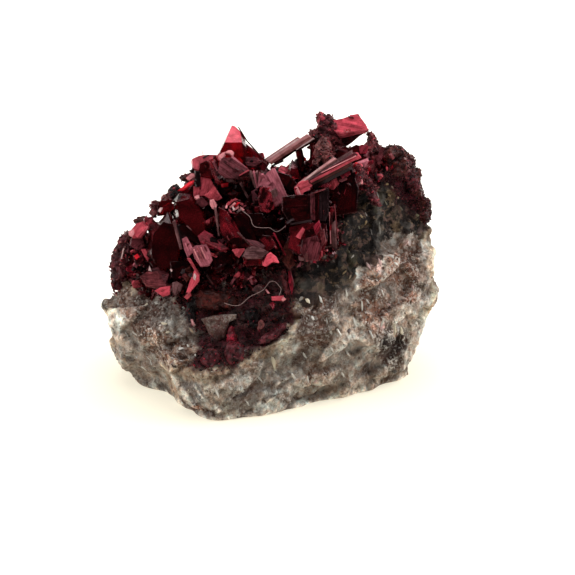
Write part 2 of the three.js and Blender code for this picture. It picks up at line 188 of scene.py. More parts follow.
# The rims of the druse, the two crusts and the dark rock, as (across, up) on the drawing plane.
DRUSE_RIM = [
    (-13.9, 7.4), (-12.5, 8.9), (-10.6, 7.4), (-8.7, 7.3), (-7.3, 6.5), (-6.6, 7.2), (-4.9, 8.1),
    (-2.7, 7.4), (-1.1, 8.2), (0.8, 10.0), (2.6, 9.8), (5.2, 10.3), (5.9, 11.6), (6.0, 14.7),
    (6.6, 15.5), (7.6, 16.2), (9.2, 16.8), (10.4, 17.8), (10.6, 20.6), (9.3, 22.2), (7.7, 24.5),
    (-1.1, 24.6), (-16.3, 22.4), (-16.3, 9.3),
]
POCKET_RIM = [
    (-8.3, 7.4), (-7.6, 5.6), (-6.2, 4.2), (-6.0, 2.8), (-6.6, 1.4), (-6.2, 0.9), (-3.9, 0.8),
    (-2.0, 1.9), (-0.4, 2.8), (1.4, 4.0), (2.0, 5.6), (1.9, 8.1), (1.6, 10.5), (-0.9, 9.1),
    (-2.7, 8.2), (-4.9, 8.8), (-6.6, 7.9),
]
SHOULDER_RIM = [
    (10.0, 17.0), (9.9, 19.5), (10.0, 21.7), (12.6, 22.1), (16.9, 19.8), (16.8, 15.6), (14.3, 14.2),
    (13.5, 14.2), (12.1, 14.9), (10.9, 15.6),
]
DARK_ROCK_RIM = [
    (5.4, 10.0), (5.9, 14.7), (7.0, 16.5), (10.2, 19.0), (15.6, 17.0), (15.6, 12.8), (13.0, 12.9),
    (9.6, 12.6), (9.2, 10.6), (6.6, 8.6), (5.0, 7.4), (3.4, 6.2), (2.2, 7.0), (1.6, 8.6), (1.6, 10.4),
]
DRUSE_BACK, POCKET_BACK, DARK_ROCK_BACK = 8.5, -1, 8  # how far back (y) each of them reaches
BACK_RAGGEDNESS = 2.2

STONE_TONES = {
    "black": (0.012, 0.009, 0.009), "umber": (0.052, 0.034, 0.030), "brown": (0.115, 0.062, 0.045),
    "slate": (0.085, 0.074, 0.068), "grey": (0.25, 0.225, 0.20), "tan": (0.36, 0.265, 0.18),
    "ochre": (0.27, 0.185, 0.10), "olive": (0.11, 0.095, 0.06), "cream": (0.56, 0.49, 0.37),
    "white": (0.56, 0.53, 0.48), "rose": (0.46, 0.30, 0.28), "stone": (0.33, 0.285, 0.24),
    "taupe": (0.19, 0.125, 0.090), "russet": (0.17, 0.088, 0.060),
}
LOOSE_TONES = ("umber", "taupe", "brown", "russet")  # loose grains with brown dirt between them
# Where the stone is stained or bleached, and black patches that paint the shade in its pits, slits
# and grooves: across, up, the patch's half length and half width, the angle it runs at, its tone and
# how far it covers.
STAINS_AND_SHADE = [
    (-13.7, 4.6, 2.1, 0.8, -75, "cream", 0.9), (-10.3, 6.5, 2.1, 1.5, -40, "umber", 0.9),
    (-8.5, 2.7, 2.8, 1.1, -28, "taupe", 0.96), (-11.6, 1.7, 2.2, 1.1, -38, "stone", 1),
    (-6.8, 0.5, 2.8, 0.5, -14, "tan", 0.96), (-4.8, -1.0, 1.9, 0.5, -58, "cream", 0.9),
    (-6.8, -1.0, 1.4, 0.7, -50, "grey", 0.9), (-0.7, 0.0, 2.6, 1.4, 0, "grey", 0.7),
    (-3.7, 0.6, 1.0, 0.8, 0, "tan", 0.84), (-1.4, 2.0, 1.2, 0.5, 30, "tan", 0.84),
    (4.0, 4.9, 2.2, 1.5, 80, "umber", 0.84), (6.1, 4.8, 2.4, 0.8, 85, "stone", 1),
    (8.2, 3.4, 2.2, 1.5, 10, "stone", 0.72), (7.8, 6.1, 1.2, 0.9, 0, "taupe", 0.96),
    (10.1, 7.8, 1.3, 1.0, 0, "stone", 1), (8.6, 6.9, 2.6, 1.0, 85, "russet", 0.8),
    (10.5, 3.2, 1.7, 1.4, 80, "umber", 0.8), (8.5, 8.4, 1.5, 0.7, 80, "taupe", 0.96),
    (11.8, 9.4, 2.9, 1.7, 85, "russet", 0.95), (14.2, 9.2, 3.1, 0.4, 86, "cream", 1),
    (13.8, 12.6, 1.0, 0.5, 70, "tan", 0.9), (13.0, 3.2, 2.6, 0.6, 68, "white", 0.84),
    (8.8, 0.8, 1.5, 0.7, 30, "grey", 0.96), (5.3, 0.1, 2.1, 0.9, 15, "stone", 0.72),
    (2.5, 1.7, 0.9, 0.5, 60, "slate", 0.96), (1.7, -1.5, 1.0, 0.5, 10, "umber", 0.72),
    (2.3, -0.4, 1.0, 0.7, 30, "white", 0.72), (-12.3, 3.1, 0.8, 0.4, 80, "white", 0.84),
    (-12.0, 8.3, 1.1, 0.7, -50, "tan", 0.96), (7.0, 2.5, 2.2, 1.2, 20, "grey", 0.6),
    (-2.6, -1.6, 1.7, 0.7, -10, "grey", 0.72), (-14.4, 6.6, 0.5, 0.4, 80, "black", 0.8),
    (-13.9, 2.3, 0.7, 0.3, 85, "black", 0.9), (-9.3, -0.5, 0.6, 0.3, -30, "black", 0.8),
    (0.0, -1.5, 0.9, 0.2, 8, "black", 1), (-12.7, 7.7, 0.9, 0.5, 85, "brown", 0.9),
    (-9.6, 5.6, 1.0, 0.6, -60, "umber", 0.6), (-8.7, 6.6, 0.9, 0.4, 85, "umber", 0.8),
    (-6.1, 1.6, 0.8, 0.4, -35, "black", 0.75), (-5.4, 3.0, 0.8, 0.6, 0, "umber", 0.5),
    (-7.3, 3.4, 0.7, 0.3, -10, "black", 0.6), (-9.2, 2.0, 1.4, 0.5, -40, "brown", 0.55),
    (-11.5, 5.1, 1.6, 0.6, -45, "brown", 0.45), (-10.8, 7.2, 0.9, 0.5, -20, "umber", 0.5),
    (-13.7, 5.3, 1.1, 0.6, -60, "cream", 0.8), (-14.4, 4.8, 1.1, 0.4, -75, "cream", 0.8),
    (-13.8, 3.6, 0.7, 0.3, -80, "ochre", 0.7), (-12.0, 3.0, 0.8, 0.3, 85, "white", 0.8),
    (-9.2, 3.0, 0.3, 0.3, 0, "white", 0.8), (-11.2, 3.0, 0.7, 0.6, 0, "grey", 0.5),
    (-10.1, -0.2, 0.5, 0.3, 0, "white", 0.6), (-6.8, -1.2, 1.2, 0.5, -50, "slate", 0.5),
    (-5.2, 0.4, 0.7, 0.4, -40, "cream", 0.9), (-6.0, -0.7, 1.2, 0.2, -35, "white", 0.6),
    (-4.6, -1.4, 1.3, 0.4, -60, "white", 0.5), (-4.7, 0.9, 0.9, 0.4, 0, "tan", 0.6),
    (-3.2, 0.3, 1.2, 0.8, 0, "grey", 0.4), (-0.7, 2.7, 1.4, 0.5, 25, "tan", 0.8),
    (-1.7, 1.7, 0.9, 0.4, 25, "cream", 0.5), (1.9, 4.5, 1.0, 0.3, 80, "cream", 0.95),
    (2.2, 5.7, 0.7, 0.2, 60, "cream", 0.9), (1.1, 3.1, 0.5, 0.3, 60, "cream", 0.6),
    (0.5, 1.7, 0.9, 0.3, 75, "white", 0.8), (1.1, 2.6, 0.9, 0.2, 60, "white", 0.6),
    (1.8, 1.7, 0.7, 0.5, 40, "slate", 0.4), (3.2, 3.1, 0.9, 0.2, 88, "umber", 0.8),
    (3.7, 5.4, 1.5, 0.9, 80, "brown", 0.7), (4.4, 3.1, 0.8, 0.7, 0, "brown", 0.5),
    (2.5, 4.3, 1.0, 0.3, 85, "brown", 0.5), (2.3, 3.0, 0.4, 0.4, 0, "white", 0.5),
    (2.0, -0.4, 1.0, 0.7, 60, "white", 0.4), (4.6, 0.6, 0.5, 0.3, 60, "umber", 0.5),
    (-0.7, -2.5, 1.1, 0.3, 0, "white", 0.5), (6.2, 6.9, 1.7, 0.5, 85, "white", 0.45),
    (6.4, 5.2, 1.2, 0.5, 80, "cream", 0.45), (7.6, 3.6, 0.9, 0.7, 60, "white", 0.65),
    (7.2, 2.4, 0.5, 0.4, 0, "slate", 0.5), (9.2, 10.1, 0.9, 0.3, 80, "rose", 0.8),
    (8.1, 8.5, 1.3, 0.5, 80, "brown", 0.6), (9.9, 7.7, 1.2, 0.8, 0, "grey", 0.8),
    (9.2, 6.1, 1.0, 0.4, 0, "brown", 0.6), (11.6, 9.8, 1.4, 1.1, 80, "brown", 0.5),
    (10.5, 2.9, 1.4, 0.9, 80, "umber", 0.85), (11.4, 2.2, 1.0, 0.3, 75, "black", 0.6),
    (9.6, 4.8, 0.7, 0.3, 75, "white", 0.7), (10.8, 4.5, 0.8, 0.3, 70, "white", 0.6),
    (11.5, 5.3, 0.5, 0.4, 0, "white", 0.5), (13.3, 7.8, 2.8, 0.6, 82, "grey", 0.7),
    (14.1, 12.3, 1.2, 0.5, 80, "cream", 0.8), (13.4, 10.3, 1.7, 0.3, 82, "white", 0.5),
    (11.8, 11.7, 0.7, 0.5, 60, "white", 0.6), (10.0, 11.6, 0.7, 0.7, 0, "grey", 0.6),
    (13.1, 5.5, 0.9, 0.6, 60, "cream", 0.5), (13.9, 6.4, 0.8, 0.3, 70, "ochre", 0.6),
    (8.6, 1.0, 0.8, 0.6, 0, "slate", 0.6), (5.5, 4.7, 0.9, 0.3, 80, "white", 0.6),
    (9.1, 15.3, 1.0, 0.4, 80, "olive", 0.8), (10.3, 16.2, 0.9, 0.3, 75, "ochre", 0.55),
    (9.8, 17.4, 0.7, 0.4, 0, "grey", 0.5), (6.9, 10.1, 0.8, 0.5, 60, "olive", 0.6),
    (9.2, 13.0, 0.8, 0.3, 85, "grey", 0.7), (3.5, 8.0, 0.9, 0.8, 0, "slate", 0.8),
    (4.0, 7.7, 0.7, 0.3, 80, "tan", 0.7), (2.6, 8.1, 0.8, 0.3, -60, "grey", 0.7),
    (6.4, 8.9, 1.0, 0.3, -50, "olive", 0.7), (5.0, 6.9, 0.7, 0.9, 0, "umber", 0.6),
    (-13.2, 6.8, 0.4, 0.3, 0, "brown", 0.7), (-8.1, 6.9, 1.2, 0.3, -75, "grey", 0.5),
    (-8.4, 5.2, 0.8, 0.3, -70, "grey", 0.6), (-4.1, -2.2, 1.0, 0.3, -20, "umber", 0.4),
    (-2.6, 0.8, 0.7, 0.4, 0, "slate", 0.5), (9.3, 14.3, 2.2, 0.2, 86, "grey", 0.75),
    (9.9, 12.8, 0.8, 0.4, 85, "black", 1), (10.8, 15.7, 1.0, 0.5, 85, "black", 0.9),
    (8.1, 12.6, 0.6, 0.5, 0, "black", 0.9), (10.4, 16.4, 0.8, 0.2, 80, "ochre", 0.7),
    (10.7, 14.3, 0.5, 0.3, 40, "olive", 0.8), (8.1, 13.1, 0.3, 0.2, 0, "ochre", 0.8),
    (11.9, 13.5, 0.5, 0.3, 0, "grey", 0.6), (13.3, 13.4, 0.7, 0.4, 70, "rose", 0.55),
    (6.8, 10.5, 0.8, 0.2, -48, "olive", 0.8), (9.2, 12.4, 0.6, 0.2, 85, "grey", 0.8),
    (11.4, 12.8, 0.5, 0.3, 0, "umber", 0.7), (7.6, 14.2, 1.4, 0.3, 85, "umber", 0.6),
    (12.2, 14.9, 1.0, 0.5, 80, "umber", 0.7), (12.5, 16.5, 0.9, 0.5, 80, "black", 0.8),
    (8.6, 10.2, 0.5, 0.4, 80, "rose", 0.5), (11.8, 11.7, 0.5, 0.4, 0, "rose", 0.6),
    (10.4, 11.3, 0.6, 0.5, 0, "grey", 0.6), (6.3, 9.4, 0.7, 0.3, -60, "black", 0.8),
    (5.2, 10.1, 0.5, 1.0, 0, "black", 0.9), (4.0, 9.6, 0.7, 0.9, 0, "black", 0.9),
    (5.7, 11.5, 0.7, 0.9, 0, "black", 0.9), (2.7, 10.1, 0.4, 1.2, 0, "black", 0.9),
    (3.4, 6.9, 0.5, 0.7, 0, "umber", 0.7), (-14.4, 6.8, 0.3, 0.3, 0, "black", 0.9),
    (-13.7, 4.6, 1.2, 0.8, 80, "white", 0.7), (-14.1, 3.3, 0.7, 0.3, 80, "tan", 0.9),
    (-14.0, 2.3, 0.5, 0.3, 80, "black", 1), (-10.4, 0.8, 2.9, 0.8, -14, "stone", 0.9),
    (-9.1, 3.1, 0.4, 0.3, 0, "white", 0.7), (-7.8, 2.7, 0.5, 0.2, 0, "white", 0.7),
    (-9.9, 6.8, 0.3, 0.3, 0, "white", 0.8), (-9.0, 4.8, 0.4, 0.2, 10, "white", 0.6),
    (-8.6, 0.0, 1.7, 0.4, -65, "tan", 0.8), (-6.6, -1.0, 1.2, 0.7, -50, "slate", 0.85),
    (-6.1, -1.2, 1.1, 0.1, -50, "white", 0.9), (-5.2, 0.0, 0.6, 0.3, -40, "cream", 1),
    (-4.9, 0.7, 0.7, 0.3, 0, "taupe", 0.7), (-4.8, -1.4, 1.0, 0.5, -70, "stone", 0.9),
    (-6.1, -2.3, 0.9, 0.3, -20, "russet", 0.9), (-5.1, -2.7, 0.6, 0.1, -20, "black", 0.9),
    (-2.6, -1.0, 1.9, 1.4, 0, "grey", 0.5), (1.9, 5.4, 1.1, 0.2, 75, "tan", 1),
    (1.3, 3.2, 0.8, 0.3, 55, "cream", 0.7), (3.8, 4.8, 1.5, 1.0, 80, "umber", 0.85),
    (3.2, 3.5, 1.2, 0.1, 88, "black", 0.9), (6.1, 5.9, 1.4, 0.6, 85, "stone", 0.9),
    (7.7, 2.9, 0.9, 0.8, 0, "white", 0.6), (7.6, 2.5, 0.4, 0.4, 0, "slate", 0.6),
    (9.5, 5.7, 1.9, 0.7, 80, "russet", 0.7), (9.7, 4.9, 0.4, 0.2, 75, "rose", 0.8),
    (10.8, 4.4, 0.5, 0.2, 75, "tan", 0.9), (10.5, 2.9, 0.9, 0.9, 85, "black", 0.92),
    (10.5, 1.5, 0.7, 0.4, 70, "umber", 0.9), (12.3, 2.8, 2.4, 0.5, 78, "stone", 0.9),
    (8.2, 0.7, 0.8, 0.3, 80, "black", 0.8), (2.3, -0.1, 1.1, 0.3, 86, "white", 0.8),
    (0.3, 1.5, 0.8, 0.2, 86, "cream", 0.9), (2.1, -1.6, 0.8, 0.3, 10, "umber", 0.7),
    (-0.2, -1.5, 0.8, 0.1, 5, "black", 1), (6.0, -0.6, 3.9, 0.4, 12, "stone", 0.8),
    (11.5, 9.4, 2.2, 1.5, 85, "brown", 0.32), (3.6, 5.0, 2.1, 1.3, 85, "brown", 0.4),
    (2.8, 5.5, 1.2, 0.5, 75, "umber", 0.4), (5.9, 8.8, 2.1, 0.8, 85, "black", 0.6),
    (5.6, 12.1, 2.1, 0.7, 88, "black", 0.8), (7.8, 12.4, 1.9, 1.0, 80, "black", 0.5),
    (11.5, 15.2, 2.4, 0.8, 85, "umber", 0.4), (6.9, 5.2, 1.9, 1.5, 0, "brown", 0.2),
    (-12.4, 7.4, 1.2, 0.8, -50, "brown", 0.5), (-11.2, 4.8, 1.7, 1.2, -30, "brown", 0.22),
    (2.1, 5.4, 0.8, 0.2, -62, "ochre", 0.8), (11.6, 6.8, 1.2, 0.8, 70, "brown", 0.3),
    (0.1, -2.0, 2.2, 0.5, 8, "grey", 0.5), (-11.2, 5.8, 2.4, 1.3, -28, "brown", 0.28),
    (-8.3, 4.4, 1.9, 1.1, -30, "umber", 0.28), (-13.0, 3.6, 1.2, 0.5, -75, "white", 0.4),
    (9.6, 9.9, 1.4, 0.8, -35, "brown", 0.45),
]


def flattened(spots):
    """Places in mm as (across, up) on the drawing plane."""
    return np.stack([spots[:, 0], spots @ np.array(DRAWING_UP)], 1)


def sides_of(outline):
    """Each corner of an outline with the next one."""
    return zip(outline, outline[1:] + outline[:1])


def rim_distance(rim, spots):
    """How far inside a rim each place lies, on the drawing plane. Outside it is below 0."""
    flat = flattened(spots)
    nearest = np.full(len(flat), np.inf)
    inside = np.zeros(len(flat), bool)
    for a, b in sides_of(rim):
        a, b = np.array(a), np.array(b)
        along = np.clip(((flat - a) @ (b - a)) / ((b - a) @ (b - a)), 0, 1)
        nearest = np.minimum(nearest, np.linalg.norm(flat - a - along[:, None] * (b - a), axis=1))
        if a[1] != b[1]:
            crosses = (a[1] > flat[:, 1]) != (b[1] > flat[:, 1])
            meets = (b[0] - a[0]) * (flat[:, 1] - a[1]) / (b[1] - a[1]) + a[0]
            inside ^= crosses & (flat[:, 0] < meets)
    return np.where(inside, nearest, -nearest)


def ramp(values, low, high):
    """Values eased from 0 at low to 1 at high."""
    t = np.clip((values - low) / (high - low), 0, 1)
    return t * t * (3 - 2 * t)


def noise_at(spots, size, shift=0.0):
    """Smooth noise from -1 to 1 whose lumps are about size mm across."""
    return np.array([noise.noise(Vector(s) / size + Vector((shift, shift, shift))) for s in spots])


def patches_at(spots):
    """How far inside the druse, the pocket, the shoulder crust and the dark rock places lie."""
    back = DRUSE_BACK - spots[:, 1] + noise_at(spots, 3.0, 9.0) * BACK_RAGGEDNESS
    return (
        np.minimum(rim_distance(DRUSE_RIM, spots), back),
        np.minimum(rim_distance(POCKET_RIM, spots), POCKET_BACK - spots[:, 1]),
        np.minimum(rim_distance(SHOULDER_RIM, spots), back),
        np.minimum(rim_distance(DARK_ROCK_RIM, spots), DARK_ROCK_BACK - spots[:, 1]),
    )


def chips_at(spots, size, tilt, seed=0.0):
    """Broken chips about size mm across: each stands off by its own amount and leans its own way."""
    heights = np.empty(len(spots))
    for i, spot in enumerate(spots):
        place = Vector(spot) / size + Vector((seed, seed, seed))
        centre = noise.voronoi(place)[1][0]
        leaning = noise.cell_vector(centre * 7.31) - Vector((0.5, 0.5, 0.5))
        heights[i] = (noise.cell(centre * 3.17) - 0.5) + tilt * leaning.dot(place - centre)
    return heights * size


def smoothed(spots, edges, rounds, keep=0.4):
    """Points drawn toward the mean of their neighbours, round by round."""
    count = np.bincount(edges.ravel(), minlength=len(spots))[:, None]
    for _ in range(rounds):
        total = np.zeros_like(spots)
        np.add.at(total, edges[:, 0], spots[edges[:, 1]])
        np.add.at(total, edges[:, 1], spots[edges[:, 0]])
        spots = spots * keep + total / count * (1 - keep)
    return spots


def rows_of(items, key, width, kind=float):
    """A value of each of a mesh's points or edges, as the rows of an array."""
    rows = np.empty(len(items) * width, kind)
    items.foreach_get(key, rows)
    return rows.reshape(-1, width)


def move_points(mesh, spots):
    mesh.vertices.foreach_set("co", spots.ravel())
    mesh.update()


def mesh_evenly(body, spacing):
    """Gives a body an even fine mesh."""
    modifier = body.modifiers.new("even mesh", "REMESH")
    modifier.mode = "VOXEL"
    modifier.voxel_size = spacing
    meshed = body.evaluated_get(bpy.context.evaluated_depsgraph_get())
    shape = bpy.data.meshes.new_from_object(meshed)
    body.modifiers.clear()
    body.data = shape


def add_attribute(mesh, name, values, kind="FLOAT", domain="POINT"):
    layer = mesh.attributes.new(name, kind, domain)
    key = {"FLOAT": "value", "FLOAT_VECTOR": "vector", "FLOAT_COLOR": "color"}[kind]
    layer.data.foreach_set(key, np.asarray(values, dtype=np.float32).ravel())


def opaque(colours):
    """Rows of red, green and blue with a full alpha beside them."""
    return np.concatenate([colours, np.ones((len(colours), 1))], 1)


# A copy of the lump from the frame, made in mm for the mesher. The lump itself isn't touched.
lump = in_scene("quartz_lump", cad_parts["quartz_matrix"].data.copy())
lump.data.materials.clear()
lump.data.transform(Matrix.Scale(1 / MM, 4))
mesh_evenly(lump, GRAIN_SPACING)
lump.data.transform(Matrix.Scale(MM, 4))

edges = rows_of(lump.data.edges, "vertices", 2, int)
spots = smoothed(rows_of(lump.data.vertices, "co", 3) / MM, edges, LUMP_SOFTENING)
move_points(lump.data, spots * MM)
outward = rows_of(lump.data.vertices, "normal", 3)
bedded = spots @ np.array(Matrix.Rotation(BEDDING, 3, "Y")).T * np.array(BEDDING_STRETCH)
raised = (
    chips_at(bedded, 2.6, 0.8, 4.0) * 0.18  # ledges
    + chips_at(spots, 1.3, 1.1, 1.0) * 0.14  # chips
    + chips_at(spots, 0.6, 1.2, 2.0) * 0.16  # grains
    + noise_at(spots, 3.1, 5.0) * 0.16  # swells
)
raised = raised * ramp(spots[:, 2], 0.0, FOOT_EDGE)
spots = smoothed(spots + outward * raised[:, None], edges, 1, 0.55)
spots[:, 2] = np.maximum(spots[:, 2], 0)
move_points(lump.data, spots * MM)

ragged = noise_at(spots, 0.9, 11.0) * 0.7 + noise_at(spots, 0.35, 3.0) * 0.35
*crusts, in_dark_rock = patches_at(spots)
brown = noise_at(spots, 4.2, 8.0) + 0.5 * noise_at(spots, 1.4, 2.0)
add_attribute(lump.data, "crimson", ramp(np.maximum.reduce(crusts) + ragged, -0.5, 0.5))
add_attribute(lump.data, "dark_rock", ramp(in_dark_rock + ragged * 1.3, -0.9, 0.7))
# How far the surface sinks in, for the painted shade in its hollows.
add_attribute(lump.data, "painted_hollow_shade", ramp(-raised, 0.0, 0.32))
add_attribute(lump.data, "brown", ramp(brown, 0.05, 0.75))

# The stains and the painted shade of pits and slits, laid one over the other on the side that faces
# the view, with wavering edges.
flat = flattened(spots)
for size, reach in ((2.2, 0.45), (0.8, 0.3)):
    for k in (0, 1):
        flat[:, k] += noise_at(spots, size, 20.0 + 9 * k) * reach
toward_view = -(rows_of(lump.data.vertices, "normal", 3) @ np.array(SIGHT))
seen = ramp(toward_view, -0.75, -0.2) * ramp(-spots[:, 1], -9, -6)
stain_and_shade, stain_and_shade_cover = np.zeros((len(spots), 3)), np.zeros(len(spots))
loose = np.zeros(len(spots))
for across, up, long, wide, angle, tone, cover in STAINS_AND_SHADE:
    c, s = math.cos(math.radians(angle)), math.sin(math.radians(angle))
    offset = flat - np.array((across, up))
    from_middle = np.hypot(offset @ np.array((c, s)) / long, offset @ np.array((-s, c)) / wide)
    amount = ramp(1.2 - from_middle + ragged * 0.2, 0.0, 0.35) * cover * seen
    total = amount + stain_and_shade_cover * (1 - amount)
    share = np.where(total > 0, amount / np.maximum(total, 1e-6), 0)[:, None]
    stain_and_shade = stain_and_shade * (1 - share) + np.array(STONE_TONES[tone]) * share
    stain_and_shade_cover = total
    loose = np.maximum(loose, amount) if tone in LOOSE_TONES else loose * (1 - amount)
add_attribute(lump.data, "stain_and_shade", opaque(stain_and_shade), "FLOAT_COLOR")
add_attribute(lump.data, "stain_and_shade_cover", stain_and_shade_cover)
add_attribute(lump.data, "loose", loose)

# Vein quartz: the grain, the needles and the painted shade of pits lie in the stone, so they are placed
# in mm.
quartz = bpy.data.materials.new("vein quartz")
tree, shader, _ = nodes_of(quartz)


def steps(source, *stops):
    """A ramp from (place, brightness) pairs, out as a value."""
    curve = node("ShaderNodeValToRGB")
    elements = curve.color_ramp.elements
    while len(elements) < len(stops):
        elements.new(0.5)
    for element, (place, value) in zip(elements, stops):
        element.position = place
        element.color = (value, value, value, 1)
    link(source, curve.inputs["Fac"])
    return curve.outputs["Color"]


def rise(source, low, high):
    """From 0 where the source is at low to 1 where it is at high."""
    return steps(source, (low, 0), (high, 1))


def times(a, b):
    made = node("ShaderNodeMath", operation="MULTIPLY")
    feed(made.inputs[0], a)
    feed(made.inputs[1], b)
    return made.outputs[0]


def attribute(name, output="Fac"):
    return node("ShaderNodeAttribute", attribute_name=name).outputs[output]


in_mm = node("ShaderNodeVectorMath", operation="SCALE", Scale=1 / MM)
link(node("ShaderNodeTexCoord").outputs["Object"], in_mm.inputs[0])
in_mm = in_mm.outputs["Vector"]


def noise_in_mm(scale, detail, distortion=0.0, roughness=0.66):
    made = node(
        "ShaderNodeTexNoise", Scale=scale, Detail=detail, Roughness=roughness, Distortion=distortion
    )
    link(in_mm, made.inputs["Vector"])
    return made.outputs["Fac"]


def grain_kinds(scale):
    """Random values, each the same all over one grain of the stone, as red, green and blue."""
    grain = node("ShaderNodeTexVoronoi", Scale=scale)
    link(in_mm, grain.inputs["Vector"])
    kinds = node("ShaderNodeSeparateColor")
    link(grain.outputs["Color"], kinds.inputs["Color"])
    return kinds


milk = noise_in_mm(0.5, 8.0, roughness=0.62)
clouds, mottle = noise_in_mm(1.1, 6.0, 0.5), noise_in_mm(3.2, 6.0, 0.8)
covered = attribute("stain_and_shade_cover")
calm = steps(covered, (0.0, 1), (1.0, 0.55))
grainy = steps(attribute("loose"), (0.1, 0.42), (0.7, 1))

body = colour_mix((0.12, 0.105, 0.09), (0.42, 0.39, 0.34), rise(milk, 0.36, 0.64))
body = colour_mix(body, (0.19, 0.12, 0.085), times(attribute("brown"), 0.75))
# The stains, with the painted shade of pits, slits and grooves among them.
body = colour_mix(body, attribute("stain_and_shade", "Color"), covered)

# Massive quartz: dark glassy grains and milky ones, with white wisps and fine dark cracks.
for patches, low, high, darker, lighter, strength in (
    (milk, 0.38, 0.62, (0.60, 0.43, 0.36), (2.46, 2.60, 2.66), calm),
    (clouds, 0.38, 0.62, (0.44, 0.295, 0.24), (2.10, 2.22, 2.26), grainy),
    (mottle, 0.38, 0.62, (0.56, 0.41, 0.34), (1.49, 1.52, 1.55), grainy),
    (noise_in_mm(1.7, 5.0), 0.42, 0.58, (1.11, 0.98, 0.92), (0.89, 1.01, 1.06), 1.0),
):
    shade = colour_mix(darker, lighter, rise(patches, low, high))
    body = colour_mix(body, shade, strength, "MULTIPLY")
wisps = steps(noise_in_mm(0.75, 5.0, 1.2), (0.47, 0), (0.5, 1), (0.53, 0))
in_mottle = steps(mottle, (0.42, 0), (0.58, 0.75))
body = colour_mix(body, (0.62, 0.58, 0.52), times(wisps, in_mottle))
cracks = steps(noise_in_mm(0.62, 4.0, 1.5), (0.535, 0), (0.55, 1), (0.565, 0))
in_clouds = steps(clouds, (0.42, 0.9), (0.58, 0.2))
body = colour_mix(body, (0.052, 0.026, 0.020), times(cracks, in_clouds))

# Grains a third of a millimetre across and specks half as large, some milky and some dark. They
# lie thick where the stone is loose and sparse in the massive quartz between.
large_grains, specks = grain_kinds(2.9), grain_kinds(6.5)
for kind, low, high, tone, cover in (
    (large_grains.outputs["Red"], 0.76, 0.88, (0.60, 0.555, 0.49), 0.42),
    (large_grains.outputs["Green"], 0.68, 0.80, (0.055, 0.030, 0.023), 0.55),
    (specks.outputs["Red"], 0.84, 0.90, (0.72, 0.68, 0.62), 0.6),
    (specks.outputs["Blue"], 0.80, 0.88, (0.03, 0.02, 0.018), 0.6),
):
    body = colour_mix(body, tone, times(rise(kind, low, high), times(grainy, cover)))

# Pale needles that lie aslant. Then painted shade: black in small pits, and darker brown where the
# surface sinks in.
aslant = node("ShaderNodeMapping", Rotation=(0.2, 0.5, 0.1), Scale=(2.6, 2.6, 0.85))
link(in_mm, aslant.inputs["Vector"])
needles = node("ShaderNodeTexVoronoi", Scale=1.0, Randomness=1.0)
link(aslant.outputs["Vector"], needles.inputs["Vector"])
in_needle = steps(needles.outputs["Distance"], (0.14, 1), (0.24, 0))
body = colour_mix(body, (0.62, 0.57, 0.50), times(in_needle, times(grainy, 0.32)))
painted_pit_shade = steps(noise_in_mm(1.9, 5.0), (0.60, 0), (0.67, 0.8))
body = colour_mix(body, (0.032, 0.016, 0.013), painted_pit_shade)
# Painted shade where the surface sinks in.
body = colour_mix(body, (0.055, 0.031, 0.024), times(attribute("painted_hollow_shade"), 0.5))

# Next to the erythrite the rock is black with brown and olive dirt, and under it it is wine red.
flecks = noise_in_mm(1.5, 9.0, 0.4)
dirt = colour_mix((0.13, 0.072, 0.058), (0.15, 0.098, 0.058), rise(clouds, 0.46, 0.54))
dirty = steps(flecks, (0.52, 0), (0.60, 0.9), (0.66, 0.5))
night = colour_mix((0.004, 0.003, 0.003), dirt, dirty)
dark_stain = colour_mix((0.0, 0.0, 0.0), attribute("stain_and_shade", "Color"), 0.6)
night = colour_mix(night, dark_stain, times(covered, 0.5))
patchy = node("ShaderNodeMath", operation="MULTIPLY_ADD")
feed(patchy.inputs[0], flecks)
feed(patchy.inputs[1], 0.8)
feed(patchy.inputs[2], times(attribute("dark_rock"), 0.5))
body = colour_mix(body, night, steps(patchy.outputs[0], (0.53, 0), (0.66, 0.97)))
wine = colour_mix((0.008, 0.001, 0.002), (0.07, 0.006, 0.014), rise(flecks, 0.42, 0.66))
body = colour_mix(body, wine, times(attribute("crimson"), 0.95))
link(body, shader.inputs["Base Color"])

link(steps(milk, (0.35, 0.35), (0.65, 0.6)), shader.inputs["Roughness"])
height = node("ShaderNodeMath", operation="ADD")
link(noise_in_mm(4.5, 8.0), height.inputs[0])
link(times(large_grains.outputs["Blue"], 0.35), height.inputs[1])
bump = node("ShaderNodeBump", Strength=0.9, Distance=0.24 * MM)
link(height.outputs[0], bump.inputs["Height"])
link(bump.outputs["Normal"], shader.inputs["Normal"])
set_sockets(shader, {
    "IOR": 1.5, "Specular IOR Level": 0.06, "Subsurface Weight": 0.12,
    "Subsurface Radius": (1.0, 0.9, 0.75), "Subsurface Scale": 0.6 * MM,
})

lump.data.materials.append(quartz)
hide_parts("quartz_matrix")
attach(lump, "root")

lump_surface = BVHTree.FromPolygons(
    [Vector(s) for s in spots], [tuple(p.vertices) for p in lump.data.polygons]
)

# ----------------------------------------
# The standing crystals. Flat blades of erythrite, fine-striped along their length and cut off
# aslant or to a point, single or in sheaves of laths. Wine red and clear; thin ones pass pink.

